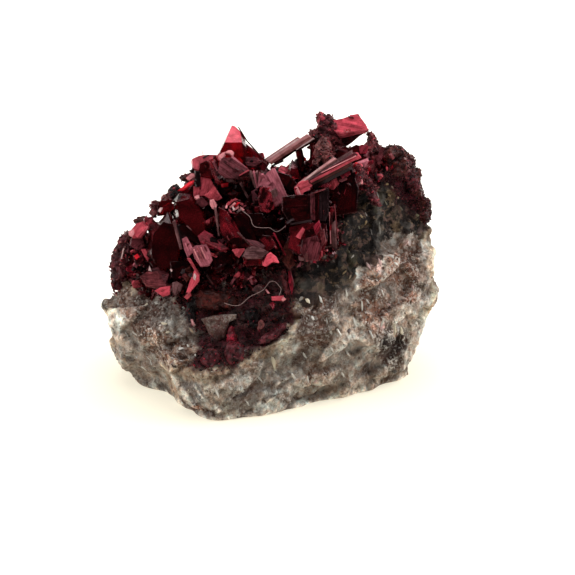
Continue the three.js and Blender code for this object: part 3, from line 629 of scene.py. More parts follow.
# Tones: first those seen through, then those of satin faces, which are finely striped and show a colour
# of their own. The pale ones, ash, pearl, blush, petal and lilac, are painted sheen and highlights.
CLEAR_TONES = {
    "dark": (0.10, 0.004, 0.006), "wine": (0.26, 0.010, 0.016), "garnet": (0.50, 0.026, 0.045),
    "crimson": (0.80, 0.07, 0.11), "pink": (1.0, 0.29, 0.35),
}
SATIN_TONES = {
    "slate": (0.010, 0.004, 0.005), "rust": (0.070, 0.016, 0.013), "mauve": (0.095, 0.020, 0.026),
    "magenta": (0.20, 0.012, 0.025), "dusty": (0.17, 0.036, 0.042), "ash": (0.13, 0.060, 0.062),
    "scarlet": (0.70, 0.016, 0.030), "bright": (0.56, 0.070, 0.100), "rose": (0.42, 0.060, 0.080),
    "lilac": (0.33, 0.095, 0.120), "dustpink": (0.20, 0.070, 0.066),
    "blush": (0.63, 0.225, 0.24), "pearl": (0.56, 0.38, 0.37), "petal": (0.33, 0.150, 0.150),
}

# The plates. Each has its tone, how deep its face lies behind the drawing plane, how far the face
# turns to the right and leans back in degrees, its thickness, the run of its stripes, its outline.
PLATES = [
    # the peak's right flank
    ("garnet", -4.3, -20, 5, 0.9, -45, [(-2.4, 20.8), (-2.0, 20.4), (-1.5, 20.0), (-1.0, 19.6),
        (-0.2, 18.8), (-0.7, 18.1), (-2.4, 18.3)]),
    # rubble at the peak's foot
    ("blush", -6.1, 20, 30, 0.4, 30, [(-4.4, 19.2), (-4.1, 19.5), (-3.8, 19.6), (-3.8, 19.2),
        (-4.2, 18.9)]),
    ("blush", -6.2, -10, 25, 0.4, 10, [(-3.9, 19.5), (-3.6, 19.7), (-3.3, 19.7), (-3.1, 19.5),
        (-3.2, 19.2), (-3.5, 19.4)]),
    ("rose", -6.0, 10, 5, 0.4, 60, [(-4.6, 19.2), (-4.3, 19.5), (-4.1, 19.0), (-4.4, 18.8)]),
    # mauve plate before the peak
    ("mauve", -6.9, 6, 14, 0.6, -35, [(-4.3, 18.7), (-4.0, 19.0), (-3.3, 19.0), (-1.8, 18.0),
        (-1.9, 17.8), (-2.5, 17.6), (-2.8, 17.2), (-3.8, 17.2), (-4.4, 17.8)]),
    ("lilac", -6.5, 4, 20, 0.2, -38, [(-3.3, 19.2), (-3.2, 19.2), (-1.9, 18.1), (-2.0, 18.0),
        (-3.3, 19.0)]),
    ("wine", -5.4, -10, -15, 0.8, -10, [(-3.1, 17.4), (-2.5, 17.8), (-1.7, 18.0), (-1.5, 17.3),
        (-2.1, 16.8), (-3.4, 16.9)]),
    ("wine", -5.0, 0, 0, 0.6, 80, [(-4.9, 19.3), (-4.1, 19.4), (-4.1, 18.0), (-4.9, 18.0)]),
    # dark steps right of the peak
    ("mauve", -5.6, -10, 15, 0.8, 0, [(-2.6, 19.2), (-2.0, 19.2), (-1.1, 19.1), (-0.7, 18.7),
        (-1.3, 18.3), (-2.0, 18.4)]),
    ("crimson", -5.4, -5, 0, 0.8, -40, [(-1.4, 19.1), (-0.7, 18.9), (-0.2, 18.5), (-0.5, 18.0),
        (-1.3, 18.2)]),
    # left block of the peak
    ("rose", -4.6, 12, 14, 1.2, 80, [(-6.7, 19.1), (-6.1, 19.4), (-5.3, 19.5), (-4.6, 19.5),
        (-4.4, 18.5), (-5.6, 17.9), (-6.6, 18.2)]),
    ("wine", -5.4, -14, 6, 0.8, 70, [(-6.1, 18.6), (-5.5, 18.9), (-5.0, 18.7), (-4.7, 17.9),
        (-5.1, 17.3), (-6.0, 17.5)]),
    ("garnet", -6.0, -24, 4, 0.6, -62, [(-5.3, 18.9), (-4.9, 19.0), (-4.4, 18.1), (-4.0, 17.1),
        (-4.5, 16.7), (-5.0, 17.6)]),
    # dark face under the mauve plate
    ("dark", -4.7, 0, -12, 0.8, 0, [(-4.6, 17.4), (-3.3, 17.3), (-1.6, 17.2), (-1.8, 15.9),
        (-3.0, 15.6), (-4.5, 16.1)]),
    # oval sheen
    ("ash", -5.7, 0, 25, 0.25, 0, [(-3.8, 17.2), (-3.6, 17.4), (-3.2, 17.4), (-3.1, 17.1), (-3.5, 17.0),
        (-3.8, 17.1)]),
    ("scarlet", -5.2, 10, 20, 0.3, 0, [(-4.2, 16.9), (-3.6, 17.0), (-3.6, 16.7), (-4.1, 16.6)]),
    # pale lobed plate
    ("rose", -5.4, -6, 10, 0.45, 78, [(-6.0, 17.5), (-5.2, 17.5), (-4.8, 16.7), (-5.1, 16.1),
        (-5.8, 15.8), (-6.6, 15.8), (-6.6, 16.7), (-6.1, 16.7)]),
    ("rose", -6.6, -10, -4, 0.45, 60, [(-5.3, 16.0), (-4.8, 16.6), (-4.1, 15.5), (-4.5, 15.3),
        (-5.2, 15.5), (-5.7, 15.8)]),
    ("blush", -6.3, 0, 40, 0.3, 20, [(-6.5, 15.7), (-6.1, 15.9), (-6.0, 15.6), (-6.3, 15.5)]),
    ("mauve", -6.3, 12, 10, 0.4, 60, [(-6.3, 15.5), (-5.8, 15.7), (-5.2, 15.1), (-5.8, 14.7),
        (-6.2, 15.1)]),
    # red sliver
    ("scarlet", -5.6, 0, 25, 0.3, 38, [(-7.9, 16.3), (-6.9, 17.1), (-6.5, 17.2), (-6.6, 16.9),
        (-7.4, 16.3)]),
    ("garnet", -3.6, 0, -10, 0.7, 38, [(-7.8, 16.3), (-6.7, 17.0), (-6.5, 16.3), (-7.0, 15.9),
        (-7.7, 16.0)]),
    ("blush", -5.3, 10, 20, 0.4, 40, [(-7.2, 17.4), (-6.8, 17.8), (-6.5, 17.8), (-6.3, 17.6),
        (-6.9, 17.2)]),
    ("slate", -4.6, 0, 10, 0.5, 60, [(-7.0, 18.1), (-6.6, 18.3), (-6.3, 18.0), (-6.5, 17.8)]),
    ("slate", -5.6, 25, 0, 0.5, 85, [(-6.4, 18.0), (-6.0, 17.9), (-5.9, 16.6), (-6.3, 16.6)]),
    ("pearl", -6.2, -10, 25, 0.3, 60, [(-9.6, 14.5), (-9.4, 14.8), (-9.2, 14.8), (-9.4, 14.4)]),
    ("wine", -5.2, 0, 10, 0.9, 30, [(-9.6, 15.4), (-8.5, 15.6), (-8.3, 14.8), (-9.0, 14.3),
        (-9.7, 14.2)]),
    ("crimson", -5.2, 15, 15, 0.8, 50, [(-10.8, 14.0), (-10.2, 14.1), (-9.7, 13.5), (-10.3, 13.0),
        (-10.8, 13.3)]),
    ("rose", -5.4, -10, 14, 0.6, 50, [(-12.0, 12.9), (-11.5, 13.5), (-10.8, 13.7), (-10.6, 12.9),
        (-11.1, 12.3), (-11.8, 12.2)]),
    ("blush", -5.9, 10, 25, 0.25, 70, [(-12.1, 12.8), (-11.7, 13.0), (-11.6, 12.6), (-11.8, 12.3),
        (-12.1, 12.5)]),
    ("mauve", -5.3, 12, 0, 0.6, 40, [(-11.9, 12.2), (-11.0, 12.3), (-10.7, 11.5), (-11.4, 11.2),
        (-12.0, 11.6)]),
    ("crimson", -5.3, -12, 5, 0.6, 50, [(-11.8, 10.8), (-11.4, 11.2), (-10.8, 10.6), (-10.9, 9.9),
        (-11.6, 10.0)]),
    ("scarlet", -5.4, 0, 15, 0.25, 50, [(-11.7, 10.7), (-11.4, 10.9), (-11.2, 10.6), (-11.5, 10.4)]),
    ("dark", -6.3, 5, 12, 0.7, -35, [(-8.1, 13.2), (-7.0, 13.6), (-5.7, 12.4), (-5.8, 11.5),
        (-6.9, 12.0), (-7.7, 11.7)]),
    # white glint
    ("blush", -7.7, 10, 15, 0.35, -70, [(-5.1, 15.3), (-4.8, 15.4), (-4.5, 14.9), (-4.6, 14.5),
        (-4.9, 14.6), (-5.1, 15.0)]),
    # slab right of the pale edge
    ("garnet", -8.7, -16, 4, 0.9, -62, [(-4.4, 14.7), (-3.7, 14.3), (-3.2, 13.4), (-2.6, 12.1),
        (-1.7, 11.2), (-2.7, 11.2), (-3.7, 11.8), (-4.2, 12.5)]),
    ("dark", -8.3, 12, 6, 0.9, -50, [(-3.1, 14.1), (-2.0, 14.2), (-1.5, 13.1), (-1.1, 11.7),
        (-2.2, 12.0), (-2.8, 13.0)]),
    # lavender plate
    ("lilac", -7.8, -8, 8, 0.55, -64, [(0.2, 18.0), (0.4, 18.0), (0.9, 16.9), (1.5, 15.5), (0.9, 15.0),
        (0.4, 14.7), (0.0, 15.4), (-0.2, 16.1), (-0.7, 16.4), (-0.9, 16.6), (-0.6, 17.2),
        (-0.3, 17.6)]),
    ("ash", -8.9, 10, -10, 0.2, -64, [(0.0, 15.9), (0.5, 16.2), (0.7, 15.6), (0.3, 15.3)]),
    # red window before it
    ("crimson", -9.1, 10, -8, 0.6, 70, [(-0.8, 16.2), (-0.3, 16.3), (0.1, 15.8), (0.2, 15.0),
        (0.4, 14.5), (-0.2, 14.1), (-0.8, 14.2), (-1.0, 15.3)]),
    # pink stub
    ("bright", -5.1, 0, 25, 0.4, -30, [(0.8, 18.3), (1.2, 18.4), (1.6, 17.9), (1.2, 17.7),
        (0.7, 18.0)]),
    ("dark", -6.5, -8, 10, 0.8, 60, [(0.4, 17.9), (1.7, 17.5), (2.3, 16.8), (1.7, 16.0), (1.1, 16.6),
        (0.6, 17.2)]),
    # posts under the back sheaf
    ("wine", -3.9, 10, 0, 0.6, 85, [(2.2, 19.9), (2.8, 20.0), (3.0, 19.1), (2.9, 18.0), (2.4, 18.0),
        (2.4, 18.9)]),
    ("garnet", -4.4, -10, 0, 0.7, 88, [(3.4, 20.5), (3.8, 20.7), (4.0, 19.9), (3.8, 18.5), (3.4, 18.3),
        (3.5, 19.5)]),
    # pink end of the front sheaf
    ("rose", -8.9, 14, 8, 0.7, 28, [(2.1, 16.3), (2.6, 16.8), (3.2, 16.9), (3.6, 16.4), (2.8, 15.8),
        (2.8, 15.4), (2.5, 15.2), (2.2, 15.8)]),
    ("blush", -9.1, 0, -10, 0.3, -65, [(2.1, 16.2), (2.3, 16.3), (2.7, 15.4), (2.5, 15.2)]),
    ("bright", -8.2, -10, 25, 0.4, 10, [(6.9, 19.2), (7.4, 19.3), (7.7, 18.9), (7.3, 18.7),
        (6.9, 18.9)]),
    # crest plate
    ("bright", -4.6, -6, 12, 0.8, -12, [(5.2, 22.4), (6.3, 22.6), (7.1, 22.9), (7.6, 23.0), (7.8, 22.7),
        (8.3, 22.0), (8.5, 21.5), (7.0, 21.4), (6.1, 21.3), (5.4, 21.6)]),
    # its lower face
    ("rose", -4.9, -6, -25, 0.6, -8, [(5.5, 21.5), (6.1, 21.3), (7.0, 21.4), (8.5, 21.5), (8.4, 21.3),
        (7.0, 21.0), (6.1, 20.8)]),
    # its underside
    ("mauve", -4.3, 0, -30, 0.9, 25, [(5.3, 21.6), (6.1, 21.1), (7.0, 21.1), (8.4, 21.4), (7.7, 21.0),
        (7.1, 20.5), (6.0, 19.8), (5.1, 19.9)]),
    # dark behind the front sheaf
    ("wine", -5.6, 0, 0, 1.2, 30, [(5.6, 19.7), (6.4, 20.1), (6.8, 19.9), (7.4, 20.2), (8.2, 19.9),
        (8.3, 18.7), (7.0, 18.3), (5.8, 19.0)]),
    ("magenta", -5.8, -20, 10, 0.4, 60, [(7.6, 20.1), (7.9, 20.2), (8.4, 20.1), (8.2, 19.4),
        (7.7, 19.4)]),
    # ribbed block
    ("mauve", -9.5, 20, 4, 0.5, 88, [(3.4, 15.7), (3.8, 15.8), (3.8, 13.4), (3.4, 13.4)]),
    ("wine", -9.3, 0, 4, 0.5, 88, [(3.8, 15.8), (4.2, 15.9), (4.2, 13.4), (3.8, 13.4)]),
    ("slate", -9.6, -12, 6, 0.6, 88, [(4.1, 15.9), (4.9, 16.2), (4.9, 14.0), (4.6, 13.3), (4.1, 13.3)]),
    # broad dark crystal
    ("dark", -9.6, 4, 10, 1.2, 5, [(1.0, 15.4), (2.1, 15.6), (3.4, 15.6), (3.4, 13.4), (2.5, 13.2),
        (1.6, 13.2), (1.0, 14.2)]),
    # red block
    ("garnet", -9.9, -6, 4, 1.1, 80, [(1.6, 12.8), (2.5, 13.1), (3.5, 13.2), (4.7, 13.1), (4.8, 11.8),
        (4.5, 10.9), (4.1, 10.0), (2.5, 10.3), (1.5, 11.0)]),
    ("mauve", -10.1, -2, 0, 0.5, 75, [(2.7, 11.8), (3.9, 12.1), (4.3, 11.1), (4.0, 10.0), (3.0, 10.0),
        (2.5, 10.8)]),
    ("dusty", -10.1, -6, 6, 0.3, 70, [(4.1, 12.4), (4.5, 12.7), (4.7, 11.6), (4.3, 11.2)]),
    ("magenta", -10.1, -6, 8, 0.3, 60, [(3.6, 12.9), (4.1, 13.4), (4.3, 12.6), (3.8, 12.1)]),
    ("rose", -10.1, -6, 6, 0.25, 75, [(2.1, 12.0), (2.7, 12.8), (2.9, 12.6), (2.5, 11.8)]),
    ("magenta", -10.0, 0, -6, 0.4, 60, [(3.0, 10.5), (3.6, 10.8), (4.1, 10.4), (3.8, 9.8), (3.2, 9.9)]),
    ("ash", -9.9, -6, 0, 0.4, 60, [(2.3, 10.5), (2.7, 10.8), (3.1, 10.6), (2.8, 10.0), (2.4, 10.0)]),
    ("dark", -7.9, -8, 4, 1.2, 85, [(5.1, 17.7), (6.9, 18.1), (7.5, 16.2), (7.3, 14.2), (5.6, 13.9),
        (5.1, 15.3)]),
    ("magenta", -8.2, 0, 16, 0.25, 60, [(5.7, 17.7), (6.6, 18.0), (6.8, 17.4), (6.1, 17.0)]),
    # ribbed lilac patch
    ("lilac", -8.4, -8, 10, 0.5, -64, [(-6.7, 11.2), (-6.3, 11.4), (-5.4, 11.5), (-5.1, 10.9),
        (-4.9, 10.2), (-5.2, 9.7), (-5.9, 9.6), (-6.4, 10.3)]),
    # lilac blade
    ("lilac", -7.9, -10, 8, 0.3, -66, [(-7.5, 12.0), (-7.1, 12.2), (-6.7, 11.5), (-6.5, 10.9),
        (-7.0, 10.4), (-7.3, 11.1)]),
    # magenta plate
    ("magenta", -7.4, -8, 20, 0.5, -28, [(-6.2, 12.3), (-5.6, 12.8), (-5.0, 12.4), (-4.2, 11.7),
        (-3.5, 11.2), (-4.2, 11.0), (-5.1, 11.2), (-5.9, 11.6)]),
    ("dark", -7.2, 10, 0, 0.8, -30, [(-5.0, 11.0), (-3.6, 10.9), (-2.9, 10.1), (-3.5, 9.0),
        (-4.8, 9.6)]),
    # small facets, lower middle
    ("rose", -9.3, 10, 5, 0.4, 60, [(-3.2, 11.0), (-2.2, 11.1), (-2.1, 11.0), (-2.6, 10.3),
        (-2.9, 10.5)]),
    ("ash", -10.6, 0, 14, 0.6, 0, [(-2.0, 11.0), (-1.5, 11.2), (-0.6, 11.0), (-0.1, 10.7), (-0.5, 10.4),
        (-0.7, 10.2), (-2.0, 10.2), (-2.3, 10.4)]),
    ("garnet", -10.3, 0, -10, 0.6, 0, [(-2.3, 10.2), (-0.7, 10.2), (-0.7, 9.6), (-2.1, 9.6)]),
    # bright lump
    ("bright", -10.7, -10, 10, 0.5, 30, [(-0.3, 10.5), (0.0, 10.7), (0.5, 10.3), (0.7, 9.8), (0.1, 9.9),
        (-0.4, 9.5), (-0.7, 9.6)]),
    ("mauve", -9.6, 0, 25, 0.5, -30, [(-2.1, 11.9), (-1.5, 11.3), (-0.7, 11.0), (-0.3, 11.3),
        (-1.1, 11.7)]),
    ("garnet", -9.7, -14, 0, 0.7, -50, [(-0.7, 12.2), (0.0, 12.1), (0.5, 11.3), (-0.2, 10.8),
        (-1.0, 11.4)]),
    ("dark", -7.6, 0, 5, 0.9, 10, [(-2.6, 14.1), (-0.7, 14.2), (0.0, 13.0), (-0.6, 12.1),
        (-1.9, 12.3)]),
    ("dark", -8.8, -10, 0, 0.8, -60, [(-0.7, 12.9), (0.8, 12.6), (1.2, 10.8), (0.0, 10.8)]),
    # shards on the red seam
    ("rust", -9.1, 10, 5, 0.4, 70, [(1.0, 10.9), (1.5, 11.9), (1.8, 11.1), (2.1, 9.7), (1.6, 9.3),
        (1.1, 9.9)]),
    ("magenta", -8.6, 0, 0, 0.3, 85, [(1.5, 9.2), (1.7, 9.3), (2.0, 8.1), (1.8, 7.2), (1.6, 7.9)]),
    # reddish slab
    ("dusty", -6.7, 0, 14, 0.6, -5, [(-11.1, 8.9), (-10.5, 9.3), (-9.6, 9.3), (-8.9, 8.7), (-8.7, 8.0),
        (-9.7, 7.9), (-10.6, 8.1)]),
    ("mauve", -6.5, -8, 20, 0.5, -10, [(-10.6, 9.5), (-9.6, 9.7), (-8.6, 9.1), (-8.9, 8.2),
        (-9.6, 9.1)]),
    # pink corner
    ("bright", -8.1, -10, 8, 0.4, 10, [(-9.8, 7.6), (-9.3, 7.9), (-8.5, 8.0), (-8.5, 7.3),
        (-9.1, 7.1)]),
    ("dark", -7.3, 0, 8, 0.8, 20, [(-8.5, 10.1), (-7.2, 10.2), (-6.6, 9.5), (-7.1, 8.5), (-8.4, 8.7)]),
    # pink blade
    ("bright", -9.2, -14, 8, 0.3, 62, [(-6.4, 9.3), (-6.0, 8.8), (-6.0, 8.4), (-6.3, 8.0), (-6.8, 7.4),
        (-7.1, 7.4), (-6.8, 8.3)]),
    ("pearl", -9.2, 0, 20, 0.15, 70, [(-6.4, 9.2), (-6.2, 8.9), (-6.3, 8.4), (-6.5, 8.6)]),
    # pale knob
    ("ash", -7.8, 5, 10, 0.6, 80, [(-8.3, 8.3), (-7.9, 8.4), (-7.4, 8.1), (-7.6, 7.6), (-8.0, 7.2),
        (-8.3, 7.5)]),
    ("pearl", -6.5, 0, 10, 0.2, 80, [(-10.4, 9.4), (-10.3, 9.8), (-10.1, 9.3)]),
    ("pearl", -7.3, 0, 10, 0.2, 80, [(-8.5, 9.4), (-8.4, 9.6), (-8.2, 9.4), (-8.4, 9.2)]),
    ("rose", -5.3, 10, 5, 0.4, -50, [(-11.1, 11.3), (-10.7, 11.3), (-10.3, 10.7), (-10.5, 10.2),
        (-10.8, 10.7)]),
    ("garnet", -5.6, -10, 5, 0.6, -40, [(-10.3, 11.1), (-9.7, 11.0), (-9.4, 10.2), (-10.0, 9.6),
        (-10.4, 10.2)]),
    ("rust", -7.5, 0, 5, 0.4, 50, [(-7.5, 9.3), (-6.8, 9.7), (-6.6, 8.9), (-7.1, 8.3)]),
]
# Crystals with a chisel end: tone, tone of the slanted end, depth of the face, thickness, run, then
# the outline of the back and the outline of the face. The end's tone is lighter: a painted highlight.
CHISELS = [
    # the peak
    ("wine", "bright", -5.7, 2, 75, [(-3.3, 22.1), (-3.0, 22.0), (-2.6, 21.6), (-2.2, 21.0),
        (-2.0, 20.4), (-1.8, 19.1), (-2.2, 18.2), (-4.2, 18.2), (-4.6, 19.5), (-4.0, 20.8)],
        [(-3.9, 20.4), (-2.4, 20.4), (-2.1, 20.0), (-2.1, 18.9), (-2.4, 18.2), (-4.1, 18.2),
        (-4.3, 19.6)]),
    # spike
    ("garnet", "pink", -6.2, 0.8, 80, [(1.9, 19.0), (2.4, 18.3), (2.5, 17.3), (1.4, 17.3), (1.5, 18.1)],
        [(1.8, 18.1), (2.1, 18.1), (2.2, 17.4), (1.6, 17.4)]),
    # dark tabular crystal, left
    ("dark", "rose", -7.0, 1.3, 80, [(-8.8, 14.4), (-8.4, 14.0), (-7.5, 11.5), (-7.6, 9.7), (-9.4, 9.3),
        (-10.6, 10.7), (-10.3, 12.8), (-9.4, 13.7)],
        [(-9.1, 13.5), (-8.4, 13.3), (-7.8, 11.3), (-8.0, 9.7), (-9.4, 9.5), (-10.1, 10.7),
        (-10.0, 12.4)]),
    # broad dark crystal, upper left
    ("wine", "mauve", -6.6, 1.4, 70, [(-8.3, 15.5), (-7.8, 16.1), (-6.8, 16.0), (-5.7, 14.6),
        (-5.1, 12.4), (-6.3, 12.2), (-8.1, 14.0)],
        [(-8.0, 15.2), (-6.9, 15.5), (-5.8, 14.3), (-5.5, 12.5), (-6.3, 12.3), (-7.8, 14.0)]),
]
# Laths and thin edges: tone, depth, how far it turns about its length, width, thickness, root, tip.
LATHS = [
    # light edge down from the glint
    ("ash", -8.3, 6, 0.17, 1, (-4.32, 12.20), (-4.63, 14.64)),
    # light edges in the middle
    ("ash", -9.4, 6, 0.12, 0.8, (-1.51, 11.20), (-2.68, 12.42)),
    ("ash", -6.1, 30, 0.2, 0.2, (-1.88, 15.62), (-2.52, 16.94)),
    ("ash", -6.6, 20, 0.1, 0.15, (-6.34, 12.48), (-7.11, 13.20)),
    ("magenta", -9.6, 6, 0.12, 0.7, (1.30, 10.48), (0.29, 12.37)),
    ("rose", -7.7, 6, 0.14, 0.7, (-3.68, 10.92), (-5.54, 11.68)),
    ("rose", -8.5, 6, 0.24, 0.7, (-5.98, 8.81), (-6.91, 10.37)),
    ("rose", -7.1, 10, 0.13, 0.12, (-2.67, 17.41), (-1.82, 17.86)),
    # streak beside the left block
    ("lilac", -6.3, 20, 0.13, 0.15, (-4.47, 17.91), (-4.86, 18.72)),
    ("ash", -7.2, 20, 0.26, 0.2, (-7.55, 11.16), (-8.19, 13.62)),
    # grey fan
    ("ash", -6.4, 50, 0.2, 0.3, (-1.06, 16.45), (-1.70, 18.02)),
    ("lilac", -6.7, 40, 0.15, 0.2, (-1.01, 16.40), (-1.39, 17.87)),
    ("ash", -6.6, 50, 0.17, 0.3, (-0.96, 16.43), (-1.11, 17.88)),
    ("lilac", -6.9, 40, 0.15, 0.2, (-0.89, 16.49), (-0.81, 17.72)),
    ("ash", -6.6, 45, 0.2, 0.3, (-0.83, 16.56), (-0.53, 17.88)),
    # back sheaf
    ("petal", -4.3, -38, 0.32, 0.35, (-0.47, 19.04), (2.54, 20.98)),
    ("pearl", -4.6, -20, 0.2, 0.3, (-0.30, 18.97), (2.45, 20.79)),
    # dark edges of the peak
    ("slate", -3.9, 0, 0.13, 0.3, (-2.75, 21.97), (-2.03, 20.76)),
    ("slate", -4.1, 0, 0.13, 0.3, (-2.07, 20.81), (-1.08, 19.66)),
    ("slate", -3.9, 0, 0.09, 0.3, (-3.32, 21.93), (-4.18, 20.24)),
    ("petal", -4.7, -12, 0.42, 0.35, (-0.26, 18.83), (3.48, 21.17)),
    ("dustpink", -4.8, 6, 0.38, 0.35, (0.00, 18.67), (3.67, 20.99)),
    ("dark", -4.6, 28, 0.36, 0.4, (0.39, 18.62), (2.32, 20.00)),
    ("pearl", -4.9, -15, 0.15, 0.16, (2.23, 19.86), (3.82, 20.84)),
    ("dark", -4.7, 20, 0.17, 0.2, (2.32, 19.75), (3.82, 20.62)),
    # thin blade beside the peak
    ("slate", -5.0, 30, 0.17, 0.2, (0.13, 18.39), (1.18, 18.87)),
    # front sheaf
    ("petal", -8.4, -40, 0.3, 0.3, (2.40, 16.62), (5.56, 18.83)),
    ("ash", -8.5, -25, 0.46, 0.3, (2.99, 16.86), (7.04, 19.30)),
    ("pearl", -8.8, -15, 0.13, 0.2, (2.48, 16.51), (4.21, 17.90)),
    ("mauve", -8.8, -5, 0.4, 0.3, (2.73, 16.37), (7.36, 19.11)),
    ("rose", -8.9, 8, 0.26, 0.3, (3.41, 16.70), (7.61, 18.89)),
    ("blush", -9.0, 0, 0.09, 0.12, (4.33, 17.49), (7.27, 18.89)),
    ("rust", -8.7, 18, 0.36, 0.4, (3.41, 16.46), (6.94, 18.27)),
    ("slate", -8.5, 30, 0.5, 0.5, (3.58, 16.23), (6.95, 18.00)),
    # ribs of the lilac patch
    ("blush", -8.6, 20, 0.1, 0.12, (-5.81, 9.69), (-6.44, 11.08)),
    ("dusty", -8.6, 20, 0.12, 0.12, (-5.52, 9.65), (-6.15, 11.21)),
    ("blush", -8.6, 20, 0.09, 0.12, (-5.22, 9.74), (-5.85, 11.25)),
    ("dusty", -8.4, 20, 0.12, 0.12, (-5.02, 10.17), (-5.56, 11.35)),
    # edge blades on the right
    ("garnet", -9.2, 20, 0.6, 0.5, (5.08, 13.06), (5.27, 14.70)),
    ("ash", -9.3, -20, 0.5, 0.3, (5.37, 11.08), (5.20, 13.39)),
    ("garnet", -9.5, 30, 0.28, 0.3, (5.11, 12.54), (5.28, 14.55)),
    ("dusty", -9.4, 20, 0.1, 0.12, (5.66, 12.04), (5.41, 14.77)),
    ("blush", -9.4, -10, 0.1, 0.1, (5.07, 11.46), (4.97, 14.14)),
    # light top edge of the ribbed block
    ("dusty", -9.8, -12, 0.12, 0.15, (3.64, 15.70), (4.65, 16.04)),
    ("slate", -10.0, -20, 0.2, 0.2, (1.67, 13.09), (3.51, 13.37)),
    # pale line on the left edge
    ("pearl", -3.3, 10, 0.12, 0.12, (-12.91, 10.54), (-12.68, 11.48)),
    ("slate", -6.4, 20, 0.3, 0.3, (-8.05, 13.25), (-7.62, 11.72)),
    # pink crystals in the pocket
    ("bright", -8.7, 20, 0.42, 0.4, (0.08, 6.85), (1.12, 6.85)),
    ("blush", -9.1, 35, 0.3, 0.25, (0.95, 6.90), (1.15, 6.64)),
    ("magenta", -8.5, -20, 0.45, 0.4, (0.03, 6.58), (0.40, 6.20)),
    ("petal", -8.1, 10, 0.22, 0.25, (-6.71, 5.20), (-6.51, 4.65)),
    ("rose", -7.9, 20, 0.4, 0.3, (-7.18, 6.90), (-6.68, 7.40)),
    ("blush", -8.2, 10, 0.16, 0.2, (-0.42, 7.69), (-0.13, 7.31)),
    # bits on the coating under the crest
    ("scarlet", -7.3, 25, 0.16, 0.3, (7.16, 18.07), (7.38, 18.41)),
    ("rose", -7.3, 25, 0.16, 0.3, (7.46, 18.38), (7.80, 18.21)),
    ("blush", -7.3, 25, 0.16, 0.3, (7.29, 18.11), (7.12, 17.69)),
    ("bright", -7.3, 25, 0.16, 0.3, (7.38, 17.70), (7.72, 17.86)),
    ("pearl", -7.3, 25, 0.16, 0.3, (7.16, 17.39), (7.42, 17.60)),
    ("blush", -7.3, 25, 0.16, 0.3, (7.08, 17.09), (7.25, 16.67)),
    ("rose", -7.3, 25, 0.16, 0.3, (7.38, 17.05), (7.72, 17.18)),
    ("pearl", -7.3, 25, 0.16, 0.3, (7.29, 16.60), (7.67, 16.70)),
    ("blush", -7.3, 25, 0.16, 0.3, (7.72, 17.09), (7.76, 16.73)),
    ("scarlet", -7.3, 25, 0.16, 0.3, (7.27, 17.94), (7.29, 17.52)),
    # glints on the shoulder
    ("blush", -4.7, 25, 0.11, 0.25, (11.38, 19.94), (11.47, 19.60)),
    ("pearl", -5.2, 25, 0.11, 0.25, (11.46, 19.46), (11.61, 18.95)),
    ("pearl", -4.0, 25, 0.11, 0.25, (12.12, 19.27), (12.27, 19.17)),
    # glittering tuft
    ("rose", -8.0, 25, 0.17, 0.12, (-3.51, 14.83), (-3.17, 15.26)),
    ("rose", -8.0, 25, 0.17, 0.12, (-3.34, 15.09), (-2.83, 15.34)),
    ("blush", -8.0, 25, 0.17, 0.12, (-3.42, 14.62), (-2.91, 15.00)),
    ("scarlet", -8.0, 25, 0.17, 0.12, (-3.00, 14.67), (-2.62, 15.05)),
    ("blush", -8.0, 25, 0.17, 0.12, (-3.17, 14.33), (-2.62, 14.67)),
    ("rose", -8.0, 25, 0.17, 0.12, (-3.51, 14.50), (-3.29, 14.12)),
    ("pearl", -8.0, 25, 0.17, 0.12, (-2.83, 14.20), (-2.37, 14.50)),
    ("rose", -8.0, 25, 0.17, 0.12, (-2.91, 15.13), (-2.28, 14.83)),
    ("rose", -8.0, 25, 0.17, 0.12, (-3.72, 14.71), (-3.42, 15.09)),
    ("pearl", -8.0, 25, 0.17, 0.12, (-3.25, 14.79), (-3.04, 14.37)),
    ("blush", -8.0, 25, 0.17, 0.12, (-3.63, 15.00), (-3.76, 14.54)),
    ("pink", -8.0, 25, 0.17, 0.12, (-2.87, 14.83), (-2.70, 14.37)),
    ("blush", -8.0, 25, 0.17, 0.12, (-2.58, 14.67), (-2.24, 14.33)),
    ("rose", -8.0, 25, 0.17, 0.12, (-3.17, 14.16), (-2.83, 13.95)),
]
WIDEST_BEVEL = 0.04  # of the rim of a plate's face
STEP_RISE = 0.035  # how far the growth steps stand out from a plate's face
STEPPED_FROM = 0.35  # a plate smaller than this many square millimetres has no growth steps
RIDERS = 1.6  # small crystals on each square millimetre of a plate
RIDER_SIZES = (0.25, 0.9)  # their lengths
RIDER_MIX = ["wine", "garnet", "mauve", "dusty", "rose", "magenta", "slate", "crimson"]
LONGEST_STEM = 4.3  # a crystal further than this before the stone leans on its neighbours instead
STEM_SUNK = 0.4  # how far a stem's foot goes into the stone
LATH_TILT = 0.15  # how much further back a lath's root lies than its middle


def tone_of(name):
    """A tone's colour, and whether it is satin."""
    satin = name in SATIN_TONES
    return (SATIN_TONES if satin else CLEAR_TONES)[name], satin


def middle_of(outline):
    return [sum(p[k] for p in outline) / len(outline) for k in (0, 1)]


def area_of(outline):
    """The area inside an outline, below 0 where it runs clockwise."""
    return sum(a[0] * b[1] - b[0] * a[1] for a, b in sides_of(outline)) / 2


def anticlockwise(outline):
    return outline if area_of(outline) > 0 else outline[::-1]


def inset(outline, amount):
    """The outline with every side moved inward, for outlines that run anticlockwise."""
    moved = []
    before, after = outline[-1:] + outline[:-1], outline[1:] + outline[:1]
    for (ax, ay), (x, y), (bx, by) in zip(before, outline, after):
        one = Vector((ay - y, x - ax)).normalized()
        two = Vector((y - by, bx - x)).normalized()
        middle = (one + two).normalized()
        reach = amount / max(0.45, middle.dot(one))
        moved.append((x + middle.x * reach, y + middle.y * reach))
    return moved


